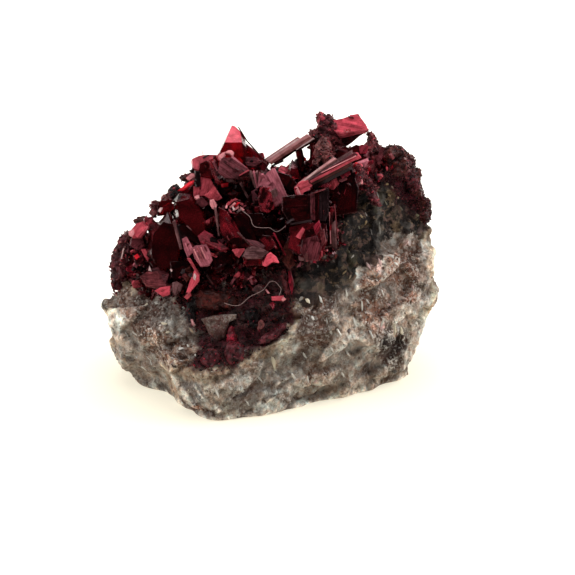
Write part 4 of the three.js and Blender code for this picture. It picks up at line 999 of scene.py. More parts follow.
def any_way(rng):
    return Vector((rng.gauss(0, 1), rng.gauss(0, 1), rng.gauss(0, 1)))


def turned_across(rng, along):
    """A direction across a crystal that is turned any way about its length."""
    turn = Matrix.Rotation(rng.uniform(0, math.tau), 3, along)
    return turn @ along.orthogonal().normalized()


class Crystals:
    """Gathers many crystals in one mesh: each face has its tone, each point its place in the grain.

    A crystal's place is its root and its directions across, along and through.
    """

    def __init__(self, seed):
        self.spots, self.faces, self.grain, self.tints, self.satin = [], [], [], [], []
        self.rng = random.Random(seed)

    def face(self, indices, tone, shade=1.0):
        colour, satin = tone_of(tone)
        self.faces.append(tuple(indices))
        self.tints.append([min(1.0, c * shade) for c in colour] + [1])
        self.satin.append(int(satin))

    def stacked(self, rings, place, tone, shade=1.0):
        """A crystal from outlines of equal count, each (level, points), the lowest first."""
        root, across, along, through = place
        first, count = len(self.spots), len(rings[0][1])
        shift = self.rng.uniform(0, 90)
        for level, ring in rings:
            for x, y in ring:
                self.spots.append(root + across * x + along * y + through * level)
                self.grain.append((x + shift, y, level + shift))
        self.face((first + k for k in reversed(range(count))), tone, shade)
        for lower in range(len(rings) - 1):
            a, b = first + lower * count, first + (lower + 1) * count
            for k in range(count):
                n = (k + 1) % count
                self.face((a + k, a + n, b + n, b + k), tone, shade)
        self.face((first + (len(rings) - 1) * count + k for k in range(count)), tone, shade)

    def bevelled(self, outline, place, thick, bevel, tone, shade=1.0):
        """A flat crystal whose face lies at 0 and whose body goes back by its thickness."""
        face, back = inset(outline, bevel), inset(outline, min(bevel * 3, thick * 0.3))
        rings = [(-thick, back), (-thick * 0.55, outline), (-bevel, outline), (0, face)]
        self.stacked(rings, place, tone, shade)

    def growth_steps(self, outline, place, tone, count):
        """Long low steps along the grain, in slightly other tones, each cut off by the outline."""
        left, right = min(p[0] for p in outline), max(p[0] for p in outline)
        for _ in range(count):
            wide = (right - left) * self.rng.uniform(0.10, 0.32)
            x = self.rng.uniform(left + wide * 0.7, right - wide * 0.7)
            cuts = []
            for (ax, ay), (bx, by) in sides_of(outline):
                if (ax > x) != (bx > x):
                    cuts.append(ay + (by - ay) * (x - ax) / (bx - ax))
            if len(cuts) < 2:
                continue
            low, high = min(cuts), max(cuts)
            room = high - low
            low += room * self.rng.uniform(0.06, 0.3)
            high -= room * self.rng.uniform(0.08, 0.3)
            slant = wide * self.rng.uniform(-0.5, 0.5)
            x0, x1 = x - wide / 2, x + wide / 2
            strip = [(x0, low), (x1, low), (x1, high + slant), (x0, high)]
            height = STEP_RISE * self.rng.uniform(0.5, 1.5)
            self.stacked([(-0.02, strip), (height, strip)], place, tone, self.rng.uniform(0.75, 1.35))

    def small_blade(self, root, along, across, size, tone, bevelled=False, steps_on=0, shade=1.0):
        """A blade of chance proportions with a pointed end."""
        rng = self.rng
        half = size * rng.uniform(0.14, 0.32)
        thick = size * rng.uniform(0.10, 0.26)
        point, slope = rng.uniform(-0.9, 0.9) * half, rng.uniform(0.3, 1.2)
        outline = [
            (-half * 0.7, 0.0), (half * 0.7, 0.0), (half, size - slope * (half - point)),
            (point, size), (-half, size - slope * (half + point)),
        ]
        place = (root, across, along, across.cross(along))
        shade *= rng.uniform(0.7, 1.35)
        if bevelled:
            self.bevelled(outline, place, thick, min(thick, half) * 0.22, tone, shade)
            self.growth_steps(outline, place, tone, steps_on)
        else:
            self.stacked([(-thick, outline), (0, outline)], place, tone, shade)

    def finished(self, name, *materials):
        """The crystals as one object of the scene. A second material goes on the satin faces."""
        mesh = bpy.data.meshes.new(name)
        mesh.from_pydata([tuple(s * MM) for s in self.spots], [], self.faces)
        add_attribute(mesh, "grain", self.grain, "FLOAT_VECTOR")
        add_attribute(mesh, "tint", self.tints, "FLOAT_COLOR", "FACE")
        for material in materials:
            mesh.materials.append(material)
        if len(materials) > 1:
            mesh.polygons.foreach_set("material_index", self.satin)
        mesh.update()
        return in_scene(name, mesh)


def face_slopes(yaw, pitch):
    """How fast a face falls back to the right and upward."""
    return math.tan(math.radians(yaw)), math.tan(math.radians(pitch))


def face_place(across, up, depth, yaw, pitch, run):
    """The place of a face that turns by yaw and leans back by pitch."""
    right, upward = face_slopes(yaw, pitch)
    through = (Vector((1, 0, 0)) * right + DRAWING_UP * upward - SIGHT).normalized()
    c, s = math.cos(math.radians(run)), math.sin(math.radians(run))
    in_face = Vector((1, 0, 0)) * c + DRAWING_UP * s + SIGHT * (right * c + upward * s)
    along = in_face.normalized()
    return on_drawing(across, up, depth), along.cross(through), along, through


def grow_stem(into, place, outline, thick, tone):
    """What carries a crystal that stands clear of the stone: a narrower one right behind it."""
    root, across, along, _ = place
    hit = lump_surface.ray_cast(root, SIGHT)[0]
    if hit is None or not thick < (hit - root).length < LONGEST_STEM:
        return
    head, foot = ([(x * k, y * k) for x, y in outline] for k in (0.62, 0.4))
    rings = [(-(hit - root).length - STEM_SUNK, foot), (-thick * 0.5, head)]
    stem_tone = "mauve" if tone_of(tone)[1] else tone
    into.stacked(rings, (root, across, along, -SIGHT), stem_tone, 0.7)


def grow_rider(into, flat, place, tone):
    """A small crystal that sits askew on a larger one's face, mostly by its rim."""
    rng = into.rng
    root, across, along, through = place
    k = rng.randrange(len(flat))
    (ax, ay), (bx, by) = flat[k], flat[(k + 1) % len(flat)]
    t, inward = rng.random(), rng.random() ** 1.5
    x, y = (ax + (bx - ax) * t) * (1 - inward), (ay + (by - ay) * t) * (1 - inward)
    size = rng.uniform(*RIDER_SIZES)
    leaning = any_way(rng)
    up = (along * rng.choice((-1, 1)) + through * 0.35 + leaning * 0.5).normalized()
    side = turned_across(rng, up)
    spot = root + across * x + along * y - through * 0.12 - up * size * 0.3
    into.small_blade(spot, up, side, size, rng.choice([tone] * 4 + RIDER_MIX))


def grow_plate(into, tone, depth, yaw, pitch, thick, run, outline):
    middle = middle_of(outline)
    place = face_place(*middle, depth, yaw, pitch, run)
    root, across, along, _ = place
    right, upward = face_slopes(yaw, pitch)
    flat = []
    for a, u in outline:
        level = depth + right * (a - middle[0]) + upward * (u - middle[1])
        offset = on_drawing(a, u, level) - root
        flat.append((offset.dot(across), offset.dot(along)))
    flat = anticlockwise(flat)
    size = abs(area_of(flat))
    bevel = min(thick * 0.3, WIDEST_BEVEL, math.sqrt(size) * 0.06)
    into.bevelled(flat, place, thick, bevel, tone)
    grow_stem(into, place, flat, thick, tone)
    if size > STEPPED_FROM:
        into.growth_steps(flat, place, tone, 2 + int(size * 1.2))
    for _ in range(int(size * RIDERS)):
        grow_rider(into, flat, place, tone)


def grow_chisel(into, tone, end_highlight_tone, depth, thick, run, back, face):
    """A thick crystal drawn together from its back to its face, whose top end slants forward."""
    hull = bmesh.new()
    for outline, level in ((back, depth + thick), (face, depth)):
        for a, u in outline:
            hull.verts.new(on_drawing(a, u, level))
    bmesh.ops.convex_hull(hull, input=hull.verts)
    hull.verts.ensure_lookup_table()
    first = len(into.spots)
    c, s = math.cos(math.radians(run)), math.sin(math.radians(run))
    for vert in hull.verts:
        into.spots.append(vert.co.copy())
        a, u = vert.co.x, vert.co.dot(DRAWING_UP)
        into.grain.append((a * s - u * c, a * c + u * s, vert.co.dot(SIGHT)))
    # Painted highlight: faces at the top of the crystal that face the view take the end's lighter tone.
    top = max(u for _, u in face) - 0.05
    middle = sum((vert.co for vert in hull.verts), Vector()) / len(hull.verts)
    for polygon in hull.faces:
        corners = [vert.co for vert in polygon.verts]
        outward = polygon.normal.dot(corners[0] - middle) > 0
        normal = polygon.normal if outward else -polygon.normal
        indices = [first + vert.index for vert in polygon.verts]
        is_high = min(corner.dot(DRAWING_UP) for corner in corners) >= top
        is_end = is_high and normal.dot(-SIGHT) > 0.3
        into.face(indices if outward else reversed(indices), end_highlight_tone if is_end else tone)
    hull.free()


def grow_lath(into, tone, depth, turn, width, thick, root, tip):
    """A thin blade from root to tip, turned about its own length, with a slanted end."""
    start, end = on_drawing(*root, depth + LATH_TILT), on_drawing(*tip, depth - LATH_TILT)
    along = (end - start).normalized()
    through = (-SIGHT - along * along.dot(-SIGHT)).normalized()
    through = Matrix.Rotation(math.radians(turn), 3, along) @ through
    place = (start, along.cross(through), along, through)
    length, half = (end - start).length, width / 2 / max(0.5, math.cos(math.radians(turn)))
    slant = into.rng.choice((-1, 1)) * half * into.rng.uniform(0.5, 1.6)
    outline = [
        (-half * 0.8, 0), (half * 0.8, 0), (half, length - max(0, slant)),
        (-half, length + min(0, slant)),
    ]
    bevel = min(thick, width) * 0.18
    into.bevelled(outline, place, thick, bevel, tone, into.rng.uniform(0.85, 1.2))
    middle = (start + along * length / 2, *place[1:])
    grow_stem(into, middle, [(x, y - length / 2) for x, y in outline], thick, tone)


blades = Crystals(7)
for row in PLATES:
    grow_plate(blades, *row)
for row in CHISELS:
    grow_chisel(blades, *row)
for row in LATHS:
    grow_lath(blades, *row)


def effect(name, inputs, outputs):
    """A new shader node group with the sockets that are named, each with its kind."""
    group = bpy.data.node_groups.new(name, "ShaderNodeTree")
    for way, sockets in (("INPUT", inputs), ("OUTPUT", outputs)):
        for socket, kind in sockets.items():
            group.interface.new_socket(socket, in_out=way, socket_type="NodeSocket" + kind)
    return group


# Fine stripes along a crystal's length, from its own grain coordinates.
stripes = effect(
    "growth stripes",
    {"Grain": "Vector", "Fineness": "Float", "Along": "Float", "Strength": "Float"},
    {"Normal": "Vector", "Mask": "Float"},
)
tree = stripes
given, made_out = node("NodeGroupInput").outputs, node("NodeGroupOutput").inputs
stretch = node("ShaderNodeCombineXYZ")
link(given["Fineness"], stretch.inputs["X"])
link(given["Along"], stretch.inputs["Y"])
link(given["Fineness"], stretch.inputs["Z"])
scaled = node("ShaderNodeVectorMath", operation="MULTIPLY")
link(given["Grain"], scaled.inputs[0])
link(stretch.outputs["Vector"], scaled.inputs[1])
lines = node("ShaderNodeTexNoise", Scale=1.0, Detail=3.0, Roughness=0.6)
link(scaled.outputs["Vector"], lines.inputs["Vector"])
raised_lines = node("ShaderNodeBump", Distance=0.06 * MM)
link(given["Strength"], raised_lines.inputs["Strength"])
link(lines.outputs["Fac"], raised_lines.inputs["Height"])
link(raised_lines.outputs["Normal"], made_out["Normal"])
link(lines.outputs["Fac"], made_out["Mask"])

# Cloudy veils and cracks in a crystal's body: a shade from dim to bright, in patches.
veils = effect(
    "veils",
    {
        "Grain": "Vector", "Scale": "Float", "Detail": "Float", "Roughness": "Float",
        "Distortion": "Float", "Dim below": "Float", "Bright above": "Float",
        "Dim": "Color", "Bright": "Color",
    },
    {"Shade": "Color"},
)
tree = veils
given, made_out = node("NodeGroupInput").outputs, node("NodeGroupOutput").inputs
cloud = node("ShaderNodeTexNoise")
for source, socket in (
    ("Grain", "Vector"), ("Scale", "Scale"), ("Detail", "Detail"), ("Roughness", "Roughness"),
    ("Distortion", "Distortion"),
):
    link(given[source], cloud.inputs[socket])
patch = node("ShaderNodeMapRange")
link(cloud.outputs["Fac"], patch.inputs["Value"])
link(given["Dim below"], patch.inputs["From Min"])
link(given["Bright above"], patch.inputs["From Max"])
link(colour_mix(given["Dim"], given["Bright"], patch.outputs["Result"]), made_out["Shade"])


def striped(fineness, along, strength):
    """The growth stripes in the material at hand. They raise its surface."""
    made = node(
        "ShaderNodeGroup", node_tree=stripes, Fineness=fineness, Along=along, Strength=strength
    )
    link(attribute("grain", "Vector"), made.inputs["Grain"])
    link(made.outputs["Normal"], shader.inputs["Normal"])
    return made


def veiled(scale, detail, roughness, distortion, between, dim, bright):
    """The veils' shade in the material at hand."""
    made = node(
        "ShaderNodeGroup", node_tree=veils, Scale=scale, Detail=detail, Roughness=roughness,
        Distortion=distortion, Dim=(*dim, 1), Bright=(*bright, 1),
    )
    made.inputs["Dim below"].default_value, made.inputs["Bright above"].default_value = between
    link(attribute("grain", "Vector"), made.inputs["Grain"])
    return made.outputs["Shade"]


# Clear faces: the colour is in the crystal's body, so it deepens with thickness. Veils and fine
# cracks inside it scatter a little wine red, in patches.
clear = bpy.data.materials.new("clear erythrite")
tree, shader, output = nodes_of(clear)
striped(7.0, 0.3, 0.3)
shade = veiled(0.5, 4.0, 0.55, 0.6, (0.42, 0.62), (0.06, 0.05, 0.05), (1.1, 1.1, 1.1))
body = colour_mix(attribute("tint", "Color"), shade, 1.0, "MULTIPLY")
link(body, shader.inputs["Base Color"])
set_sockets(shader, {
    "Roughness": 0.10, "IOR": 1.6, "Transmission Weight": 0.85, "Specular IOR Level": 0.12,
    "Specular Tint": (0.30, 0.12, 0.13, 1),
})
absorb = node("ShaderNodeVolumeAbsorption", Color=(0.86, 0.02, 0.24, 1), Density=1500.0)
link(absorb.outputs["Volume"], output.inputs["Volume"])

# Satin faces: finely striped, and showing a colour of their own; on the pale tones that colour is
# painted sheen and highlight. Bright ones show their veils and stripes less.
satin = bpy.data.materials.new("satin erythrite")
tree, shader, _ = nodes_of(satin)
lined = rise(striped(11.0, 0.5, 0.45).outputs["Mask"], 0.38, 0.58)
body = attribute("tint", "Color")
showing = steps(body, (0.06, 1), (0.17, 0.5))
for shade in (
    veiled(0.8, 6.0, 0.68, 0.8, (0.38, 0.62), (0.26, 0.18, 0.18), (1.3, 1.3, 1.3)),
    colour_mix((0.50, 0.40, 0.40), (1.15, 1.15, 1.15), lined),
):
    body = colour_mix(body, shade, showing, "MULTIPLY")
link(body, shader.inputs["Base Color"])
set_sockets(shader, {
    "Roughness": 0.24, "IOR": 1.5, "Transmission Weight": 0.1, "Specular IOR Level": 0.10,
    "Specular Tint": (0.9, 0.55, 0.58, 1), "Coat Weight": 0.05, "Coat Roughness": 0.05,
})

standing = blades.finished("standing_crystals", clear, satin)
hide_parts("erythrite_druse")
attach(standing, "root")

# ----------------------------------------
# The grown-over knobs. Stalks, lumps and ridges of the druse that later erythrite has covered
# with a bumpy, granular skin, so that their own faces are lost and they run into each other.

# Tone, depth, thickness and outline of each.
KNOBS = [
    # stalks of the crest
    ("rose", -4.7, 1, [(3.9, 22.7), (4.0, 23.0), (4.3, 23.2), (4.5, 23.1), (4.7, 22.8), (4.8, 22.5),
        (4.5, 22.2), (4.2, 22.3)]),
    ("mauve", -4.6, 1.4, [(4.1, 22.4), (4.7, 22.7), (5.2, 22.2), (5.6, 21.5), (5.2, 20.7), (4.3, 20.9),
        (4.0, 21.6)]),
    ("mauve", -4.6, 1.2, [(4.7, 22.7), (4.8, 23.1), (5.1, 23.2), (5.3, 23.0), (5.5, 22.7), (5.8, 22.2),
        (6.2, 21.6), (5.5, 21.5), (4.9, 22.1)]),
    ("dusty", -4.9, 1.2, [(3.3, 21.4), (3.5, 21.6), (3.8, 21.8), (4.2, 21.7), (4.4, 21.3), (4.2, 20.8),
        (3.6, 20.8), (3.4, 21.0)]),
    # body of the crest
    ("dusty", -4.6, 1.9, [(4.3, 21.9), (5.4, 21.9), (6.2, 21.5), (6.6, 20.9), (6.4, 19.8), (6.0, 18.5),
        (4.3, 18.3), (3.7, 18.6), (3.5, 19.8), (3.7, 20.9)]),
    # spire
    ("dustpink", -6.2, 1.3, [(4.6, 21.2), (5.1, 20.5), (5.4, 19.6), (5.6, 18.9), (5.1, 18.3),
        (3.7, 18.2), (3.7, 19.1), (3.9, 20.1)]),
    # right ridge
    ("dusty", -5.3, 1.9, [(8.2, 21.2), (8.4, 21.5), (8.8, 21.6), (9.1, 21.3), (9.3, 20.7), (9.5, 20.3),
        (9.8, 19.9), (9.7, 19.2), (10.1, 18.1), (9.5, 17.6), (8.4, 17.8), (7.9, 18.7), (7.9, 19.8),
        (8.2, 20.3), (8.4, 20.7)]),
    # coating under the crest
    ("mauve", -7.4, 1.6, [(7.0, 18.4), (7.4, 18.5), (7.8, 18.3), (8.0, 17.6), (7.9, 16.8), (7.4, 16.4),
        (7.0, 16.7), (6.9, 17.8)]),
    # lumps of the left edge
    ("rust", -3.2, 1.4, [(-7.8, 17.6), (-7.7, 17.9), (-7.3, 17.9), (-7.0, 18.2), (-6.6, 18.3),
        (-6.5, 17.7), (-7.0, 17.3), (-7.5, 17.2)]),
    ("slate", -3.4, 1.6, [(-8.9, 16.4), (-8.7, 16.8), (-8.2, 17.0), (-7.8, 16.8), (-7.5, 16.3),
        (-8.0, 15.7), (-8.7, 15.7)]),
    ("dustpink", -3.6, 1.4, [(-9.5, 15.9), (-9.2, 16.2), (-8.7, 16.3), (-8.4, 16.0), (-8.5, 15.4),
        (-9.4, 15.4)]),
    ("dusty", -3.7, 1.5, [(-10.5, 15.2), (-10.3, 15.6), (-9.8, 15.7), (-9.3, 15.4), (-9.5, 14.6),
        (-10.3, 14.7)]),
    ("dustpink", -4.0, 1.3, [(-10.5, 14.5), (-10.4, 14.8), (-9.9, 14.8), (-9.7, 14.2), (-10.2, 14.0)]),
    ("rust", -3.2, 1.6, [(-11.9, 13.8), (-11.6, 14.2), (-11.0, 14.3), (-10.6, 14.0), (-10.6, 13.4),
        (-11.6, 13.3)]),
    # coated left edge
    ("mauve", -2.9, 1.8, [(-14.0, 10.4), (-13.9, 11.0), (-13.6, 11.5), (-13.4, 12.1), (-13.0, 12.6),
        (-12.6, 13.0), (-12.1, 13.3), (-11.7, 12.5), (-12.0, 10.9), (-12.4, 9.3), (-13.0, 8.2),
        (-13.7, 7.7), (-14.0, 8.8)]),
    # coating right of it
    ("mauve", -6.7, 1, [(7.8, 18.5), (8.4, 17.8), (9.1, 16.5), (9.4, 14.8), (8.5, 14.8), (7.9, 16.3)]),
]
KNOB_SPACING = 0.13  # distance between the points of a knob's mesh
KNOB_SOFTENING = 4  # rounds of smoothing

# Grains are too small and too many-faced to look clear: they show their own tone, cloudy.
granular = bpy.data.materials.new("granular erythrite")
tree, shader, _ = nodes_of(granular)
striped(5.0, 3.0, 0.6)
shade = veiled(1.4, 6.0, 0.7, 0.0, (0.36, 0.66), (0.22, 0.17, 0.18), (1.5, 1.35, 1.35))
body = colour_mix(attribute("tint", "Color"), shade, 1.0, "MULTIPLY")
link(body, shader.inputs["Base Color"])
set_sockets(shader, {"Roughness": 0.3, "IOR": 1.6, "Specular IOR Level": 0.08})


def knob_solid(depth, thick, outline):
    """The spots and faces of a plain rounded pad with the knob's outline."""
    flat = anticlockwise(list(outline))
    pull = min(thick * 0.35, math.sqrt(abs(area_of(flat))) * 0.2)
    small, mid = inset(flat, pull), inset(flat, pull * 0.3)
    spots, count = [], len(flat)
    for ring, level in ((small, thick), (flat, thick * 0.6), (mid, thick * 0.2), (small, 0.0)):
        spots += [on_drawing(a, u, depth + level) for a, u in ring]
    faces = [tuple(reversed(range(count)))]
    for low in range(0, 3 * count, count):
        for k in range(count):
            n = (k + 1) % count
            faces.append((low + k, low + n, low + count + n, low + count + k))
    faces.append(tuple(range(3 * count, 4 * count)))
    return spots, faces


def grown_over(name, knobs, roughness):
    """Knobs run together in one even mesh with a bumpy, grained surface, each in its own tone, with
    painted shade in the dips.
    """
    spots, faces, tones = [], [], []
    for tone, depth, thick, outline in knobs:
        more, sides = knob_solid(depth, thick, outline)
        faces += [tuple(i + len(spots) for i in side) for side in sides]
        spots += more
        middle = middle_of(outline)
        for a, u in outline:
            tones.append((on_drawing(a, u, depth + thick / 2), tone))
            tones.append((on_drawing((a + middle[0]) / 2, (u + middle[1]) / 2, depth), tone))
    coarse = bpy.data.meshes.new(name)
    coarse.from_pydata([tuple(s) for s in spots], [], faces)
    made = in_scene(name, coarse)
    mesh_evenly(made, KNOB_SPACING)
    mesh = made.data
    edges = rows_of(mesh.edges, "vertices", 2, int)
    spots = smoothed(rows_of(mesh.vertices, "co", 3), edges, KNOB_SOFTENING)
    move_points(mesh, spots)
    outward = rows_of(mesh.vertices, "normal", 3)
    raised = noise_at(spots, 0.9, 4.0) * 0.22 + noise_at(spots, 0.42, 7.0) * 0.14
    raised = raised + chips_at(spots, 0.36, 1.3, 3.0) * 0.32
    spots = spots + outward * (raised * roughness)[:, None]
    move_points(mesh, spots * MM)
    add_attribute(mesh, "grain", spots, "FLOAT_VECTOR")
    nearest = KDTree(len(tones))
    for i, (place, _) in enumerate(tones):
        nearest.insert(place, i)
    nearest.balance()
    own = np.array([tone_of(tones[nearest.find(Vector(s))[1]][1])[0] for s in spots])
    # Painted shade: each knob's tone is darker in the dips of its bumpy surface.
    painted_dip_shade = 0.3 + 0.9 * ramp(raised, -0.2, 0.25)
    add_attribute(mesh, "tint", opaque(own * painted_dip_shade[:, None]), "FLOAT_COLOR")
    mesh.materials.append(granular)
    return made


def stud(into, knobs, count, sizes, tones):
    """Small blades that stand all over the knobs."""
    rng, sides = into.rng, knobs.data.polygons
    for i in rng.choices(range(len(sides)), weights=[side.area for side in sides], k=count):
        along = (sides[i].normal + any_way(rng) * 0.6).normalized()
        across = turned_across(rng, along)
        size = rng.uniform(*sizes)
        root = sides[i].center / MM - along * size * 0.4
        into.small_blade(root, along, across, size, rng.choice(tones))


knobs = grown_over("grown_over_knobs", KNOBS, 1.0)
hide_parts("erythrite_druse")
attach(knobs, "root")

# ----------------------------------------
# The crystals between. Smaller blades of the same growth that fill the druse in every direction,
# down to a sugar of grains that hides the stone between them.

MEDIUM_COUNT, SMALL_COUNT, SUGAR_COUNT, KNOB_SUGAR_COUNT = 420, 2400, 5200, 1500
DARK_MIX = ["dark"] * 5 + ["wine"] * 7 + ["garnet"] * 4 + ["mauve"] * 3
DARK_MIX += ["crimson", "magenta", "rose", "dusty", "slate", "lilac"]
SUGAR_MIX = ["rust"] * 4 + ["slate"] * 3 + ["mauve"] * 4 + ["dusty", "dusty", "rose", "magenta"]
KNOB_SUGAR_MIX = ["mauve", "mauve", "dusty", "dusty", "rust", "slate", "dustpink", "rose"]
# Left of the edge the crystals are coated and dull.
EDGE = -12.2
EDGE_MIX = ["mauve"] * 5 + ["dusty"] * 3 + ["ash", "rose", "rose", "dustpink", "rust", "rust", "blush"]
STUNTED = 0.45  # how long a blade stays that would pass the skyline
SUNK = 0.15  # the part of a blade's length that is sunk in the stone
MORE_SMALL = 1.4  # above 1, small blades are more frequent than large ones

# The outline that the small growth keeps to on the drawing plane.
SKYLINE = [
    (-13.9, 7.0), (-14.2, 9.3), (-13.9, 11.8), (-12.6, 13.3), (-11.5, 14.4), (-10.3, 15.8),
    (-9.3, 16.6), (-8.0, 18.3), (-6.9, 19.6), (-4.9, 20.1), (-4.0, 21.0), (-2.4, 21.0),
    (-1.1, 19.2), (0.4, 18.7), (2.4, 18.8), (3.6, 19.6), (4.2, 21.2), (6.0, 21.4),
    (8.2, 20.8), (9.4, 20.4), (9.9, 20.2), (10.4, 20.7), (11.8, 20.8), (12.8, 19.6), (13.6, 17.4),
    (14.4, 15.4), (14.4, 0.0), (-13.9, 0.0),
]

centres = np.array([p.center for p in lump.data.polygons]) / MM
facing = np.array([p.normal for p in lump.data.polygons])
areas = np.array([p.area for p in lump.data.polygons])
in_druse, in_pocket, in_shoulder, in_night = patches_at(centres)


def scatter(into, depth, margin, count, sizes, lean, tones, bevelled=False, steps_on=0, patchy=False):
    """Blades all over the lump where it lies deeper than margin inside a rim.

    Their sizes run between two lengths, and they lean by chance from the stone's normal.
    """
    rng = into.rng
    rows = []
    for i in rng.choices(range(len(depth)), weights=np.where(depth > margin, areas, 0), k=count):
        size = sizes[0] * (sizes[1] / sizes[0]) ** (rng.random() ** MORE_SMALL)
        along = (Vector(facing[i]) + any_way(rng) * lean).normalized()
        across = turned_across(rng, along)
        place = Vector(centres[i]) - along * size * SUNK
        mix = EDGE_MIX if centres[i][0] < EDGE else tones
        rows.append((place, along, across, size, rng.choice(mix)))
    room = rim_distance(SKYLINE, np.array([place + along * size for place, along, _, size, _ in rows]))
    for (place, along, across, size, tone), inside in zip(rows, room):
        if inside < 0:
            size *= STUNTED
        shade = max(0.2, 0.75 + 0.9 * noise.noise(place / 1.3)) if patchy else 1.0
        into.small_blade(place, along, across, size, tone, bevelled, steps_on, shade)


between = Crystals(31)
scatter(
    between, in_druse, 0.6, MEDIUM_COUNT, (0.9, 2.6), 0.7, DARK_MIX, bevelled=True, steps_on=2
)
scatter(between, in_druse, 0.1, SMALL_COUNT, (0.45, 1.3), 0.7, DARK_MIX)
filling = between.finished("crystals_between", clear, satin)
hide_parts("erythrite_druse")
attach(filling, "root")

sugar = Crystals(33)
scatter(sugar, in_druse, -0.3, SUGAR_COUNT, (0.2, 0.5), 0.8, SUGAR_MIX)
stud(sugar, knobs, KNOB_SUGAR_COUNT, (0.14, 0.36), KNOB_SUGAR_MIX)
grains = sugar.finished("druse_sugar", granular)
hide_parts("erythrite_druse")
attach(grains, "root")

# ----------------------------------------
# The shoulder crust. Fine dark grains of erythrite that coat the knobs of the right shoulder.
# It has grown on the stone by itself, parted from the druse by bare rock.

# The knobs, given like the grown-over ones: tone, depth, thickness and outline.
LOBES = [
    # the round top
    ("rust", -5.3, 4.2, [(9.5, 19.6), (9.6, 20.0), (9.9, 20.2), (10.3, 20.4), (10.7, 20.4),
        (11.1, 20.3), (11.5, 20.1), (11.9, 19.8), (12.1, 19.4), (12.3, 18.7), (12.4, 18.0),
        (11.9, 17.0), (10.8, 16.8), (9.9, 17.3), (9.4, 18.3)]),
    # the right flank
    ("mauve", -4.5, 3.4, [(11.5, 19.4), (12.0, 19.4), (12.4, 19.6), (12.6, 19.3), (12.7, 18.6),
        (12.8, 18.1), (13.0, 17.3), (13.3, 16.7), (12.9, 15.8), (12.0, 15.9), (11.4, 16.8),
        (11.2, 18.2)]),
    # the thorn on the flank
    ("rust", -3.2, 0.9, [(12.8, 18.4), (13.0, 18.2), (13.3, 17.7), (13.0, 17.6), (12.7, 17.9)]),
    # the low end
    ("rust", -3.8, 2.8, [(12.3, 17.1), (13.0, 17.1), (13.3, 16.6), (13.4, 16.1), (13.9, 15.6),
        (14.0, 15.2), (14.0, 14.5), (14.1, 13.9), (13.6, 13.4), (12.7, 13.9), (12.2, 15.2),
        (12.0, 16.4)]),
]
SHOULDER_COUNT, SHOULDER_KNOB_COUNT = 3000, 2200
SHOULDER_MIX = ["mauve"] * 4 + ["slate"] * 5 + ["rust", "rust", "dusty"]

knobs = grown_over("shoulder_knobs", LOBES, 0.9)
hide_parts("erythrite_shoulder_crust")
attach(knobs, "root")

crust = Crystals(41)
scatter(crust, in_shoulder, 0.0, SHOULDER_COUNT, (0.10, 0.26), 0.9, SHOULDER_MIX, patchy=True)
stud(crust, knobs, SHOULDER_KNOB_COUNT, (0.12, 0.30), SHOULDER_MIX)
shoulder = crust.finished("shoulder_grains", granular)
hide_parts("erythrite_shoulder_crust")
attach(shoulder, "root")

# ----------------------------------------
# The pocket crust. Brown-red grains of erythrite that line the hollow low on the front, over
# small knobs of the same growth.

# The knobs, given in the same way.
POCKET_KNOBS = [
    # brown floor of the pocket
    ("rust", -7.5, 1.3, [(-6.8, 7.5), (-5.6, 7.9), (-4.1, 7.8), (-2.8, 7.3), (-2.5, 6.4), (-3.5, 5.9),
        (-5.5, 5.8), (-6.9, 6.2)]),
    # dome low in it
    ("mauve", -9.3, 1.6, [(-4.0, 2.8), (-3.6, 3.2), (-2.5, 3.3), (-2.1, 2.6), (-2.3, 1.5), (-3.3, 1.2),
        (-3.9, 1.8)]),
    # red ridge beside the block
    ("magenta", -8.6, 0.9, [(-3.7, 4.3), (-3.3, 4.9), (-3.0, 4.3), (-2.8, 3.2), (-3.4, 2.9),
        (-3.7, 3.5)]),
    # right wall
    ("dusty", -8.1, 0.9, [(1.0, 9.6), (1.4, 9.2), (1.7, 8.1), (1.9, 7.0), (1.9, 6.0), (1.4, 5.9),
        (1.3, 7.2), (0.9, 8.5)]),
    # right part of the floor
    ("mauve", -8.9, 1.2, [(-0.4, 4.0), (0.6, 4.5), (1.3, 5.0), (1.4, 4.3), (0.5, 3.4), (-0.7, 2.9),
        (-1.2, 3.2)]),
    ("slate", -7.9, 1, [(-2.3, 5.9), (-1.2, 6.3), (-0.7, 5.5), (-1.2, 4.3), (-2.1, 4.3)]),
    # low left end
    ("mauve", -9.3, 1.2, [(-5.7, 2.4), (-4.8, 2.8), (-4.1, 2.3), (-4.2, 1.3), (-5.2, 0.9),
        (-5.9, 1.4)]),
    ("slate", -7.3, 1, [(-7.3, 6.9), (-6.7, 6.7), (-6.1, 5.4), (-6.3, 4.2), (-6.8, 4.4), (-7.2, 5.6)]),
    # pale lump
    ("ash", -8.1, 1, [(-1.6, 7.6), (-1.3, 8.1), (-0.8, 8.2), (-0.4, 7.8), (-0.5, 7.2), (-1.2, 7.1)]),
    ("dustpink", -8.5, 0.6, [(-1.1, 5.0), (-0.8, 5.2), (-0.5, 4.8), (-0.7, 4.2), (-1.1, 4.0)]),
]
POCKET_COUNT, POCKET_KNOB_COUNT = 2600, 500
POCKET_MIX = ["rust"] * 6 + ["slate"] * 7 + ["mauve", "dusty", "magenta"]
POCKET_KNOB_MIX = ["rust", "rust", "slate", "mauve", "magenta"]

knobs = grown_over("pocket_knobs", POCKET_KNOBS, 0.55)
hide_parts("erythrite_pocket_crust")
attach(knobs, "root")

lining = Crystals(51)
scatter(lining, in_pocket, 0.0, POCKET_COUNT, (0.10, 0.32), 0.9, POCKET_MIX, patchy=True)
stud(lining, knobs, POCKET_KNOB_COUNT, (0.10, 0.24), POCKET_KNOB_MIX)
pocket = lining.finished("pocket_grains", granular)
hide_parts("erythrite_pocket_crust")
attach(pocket, "root")

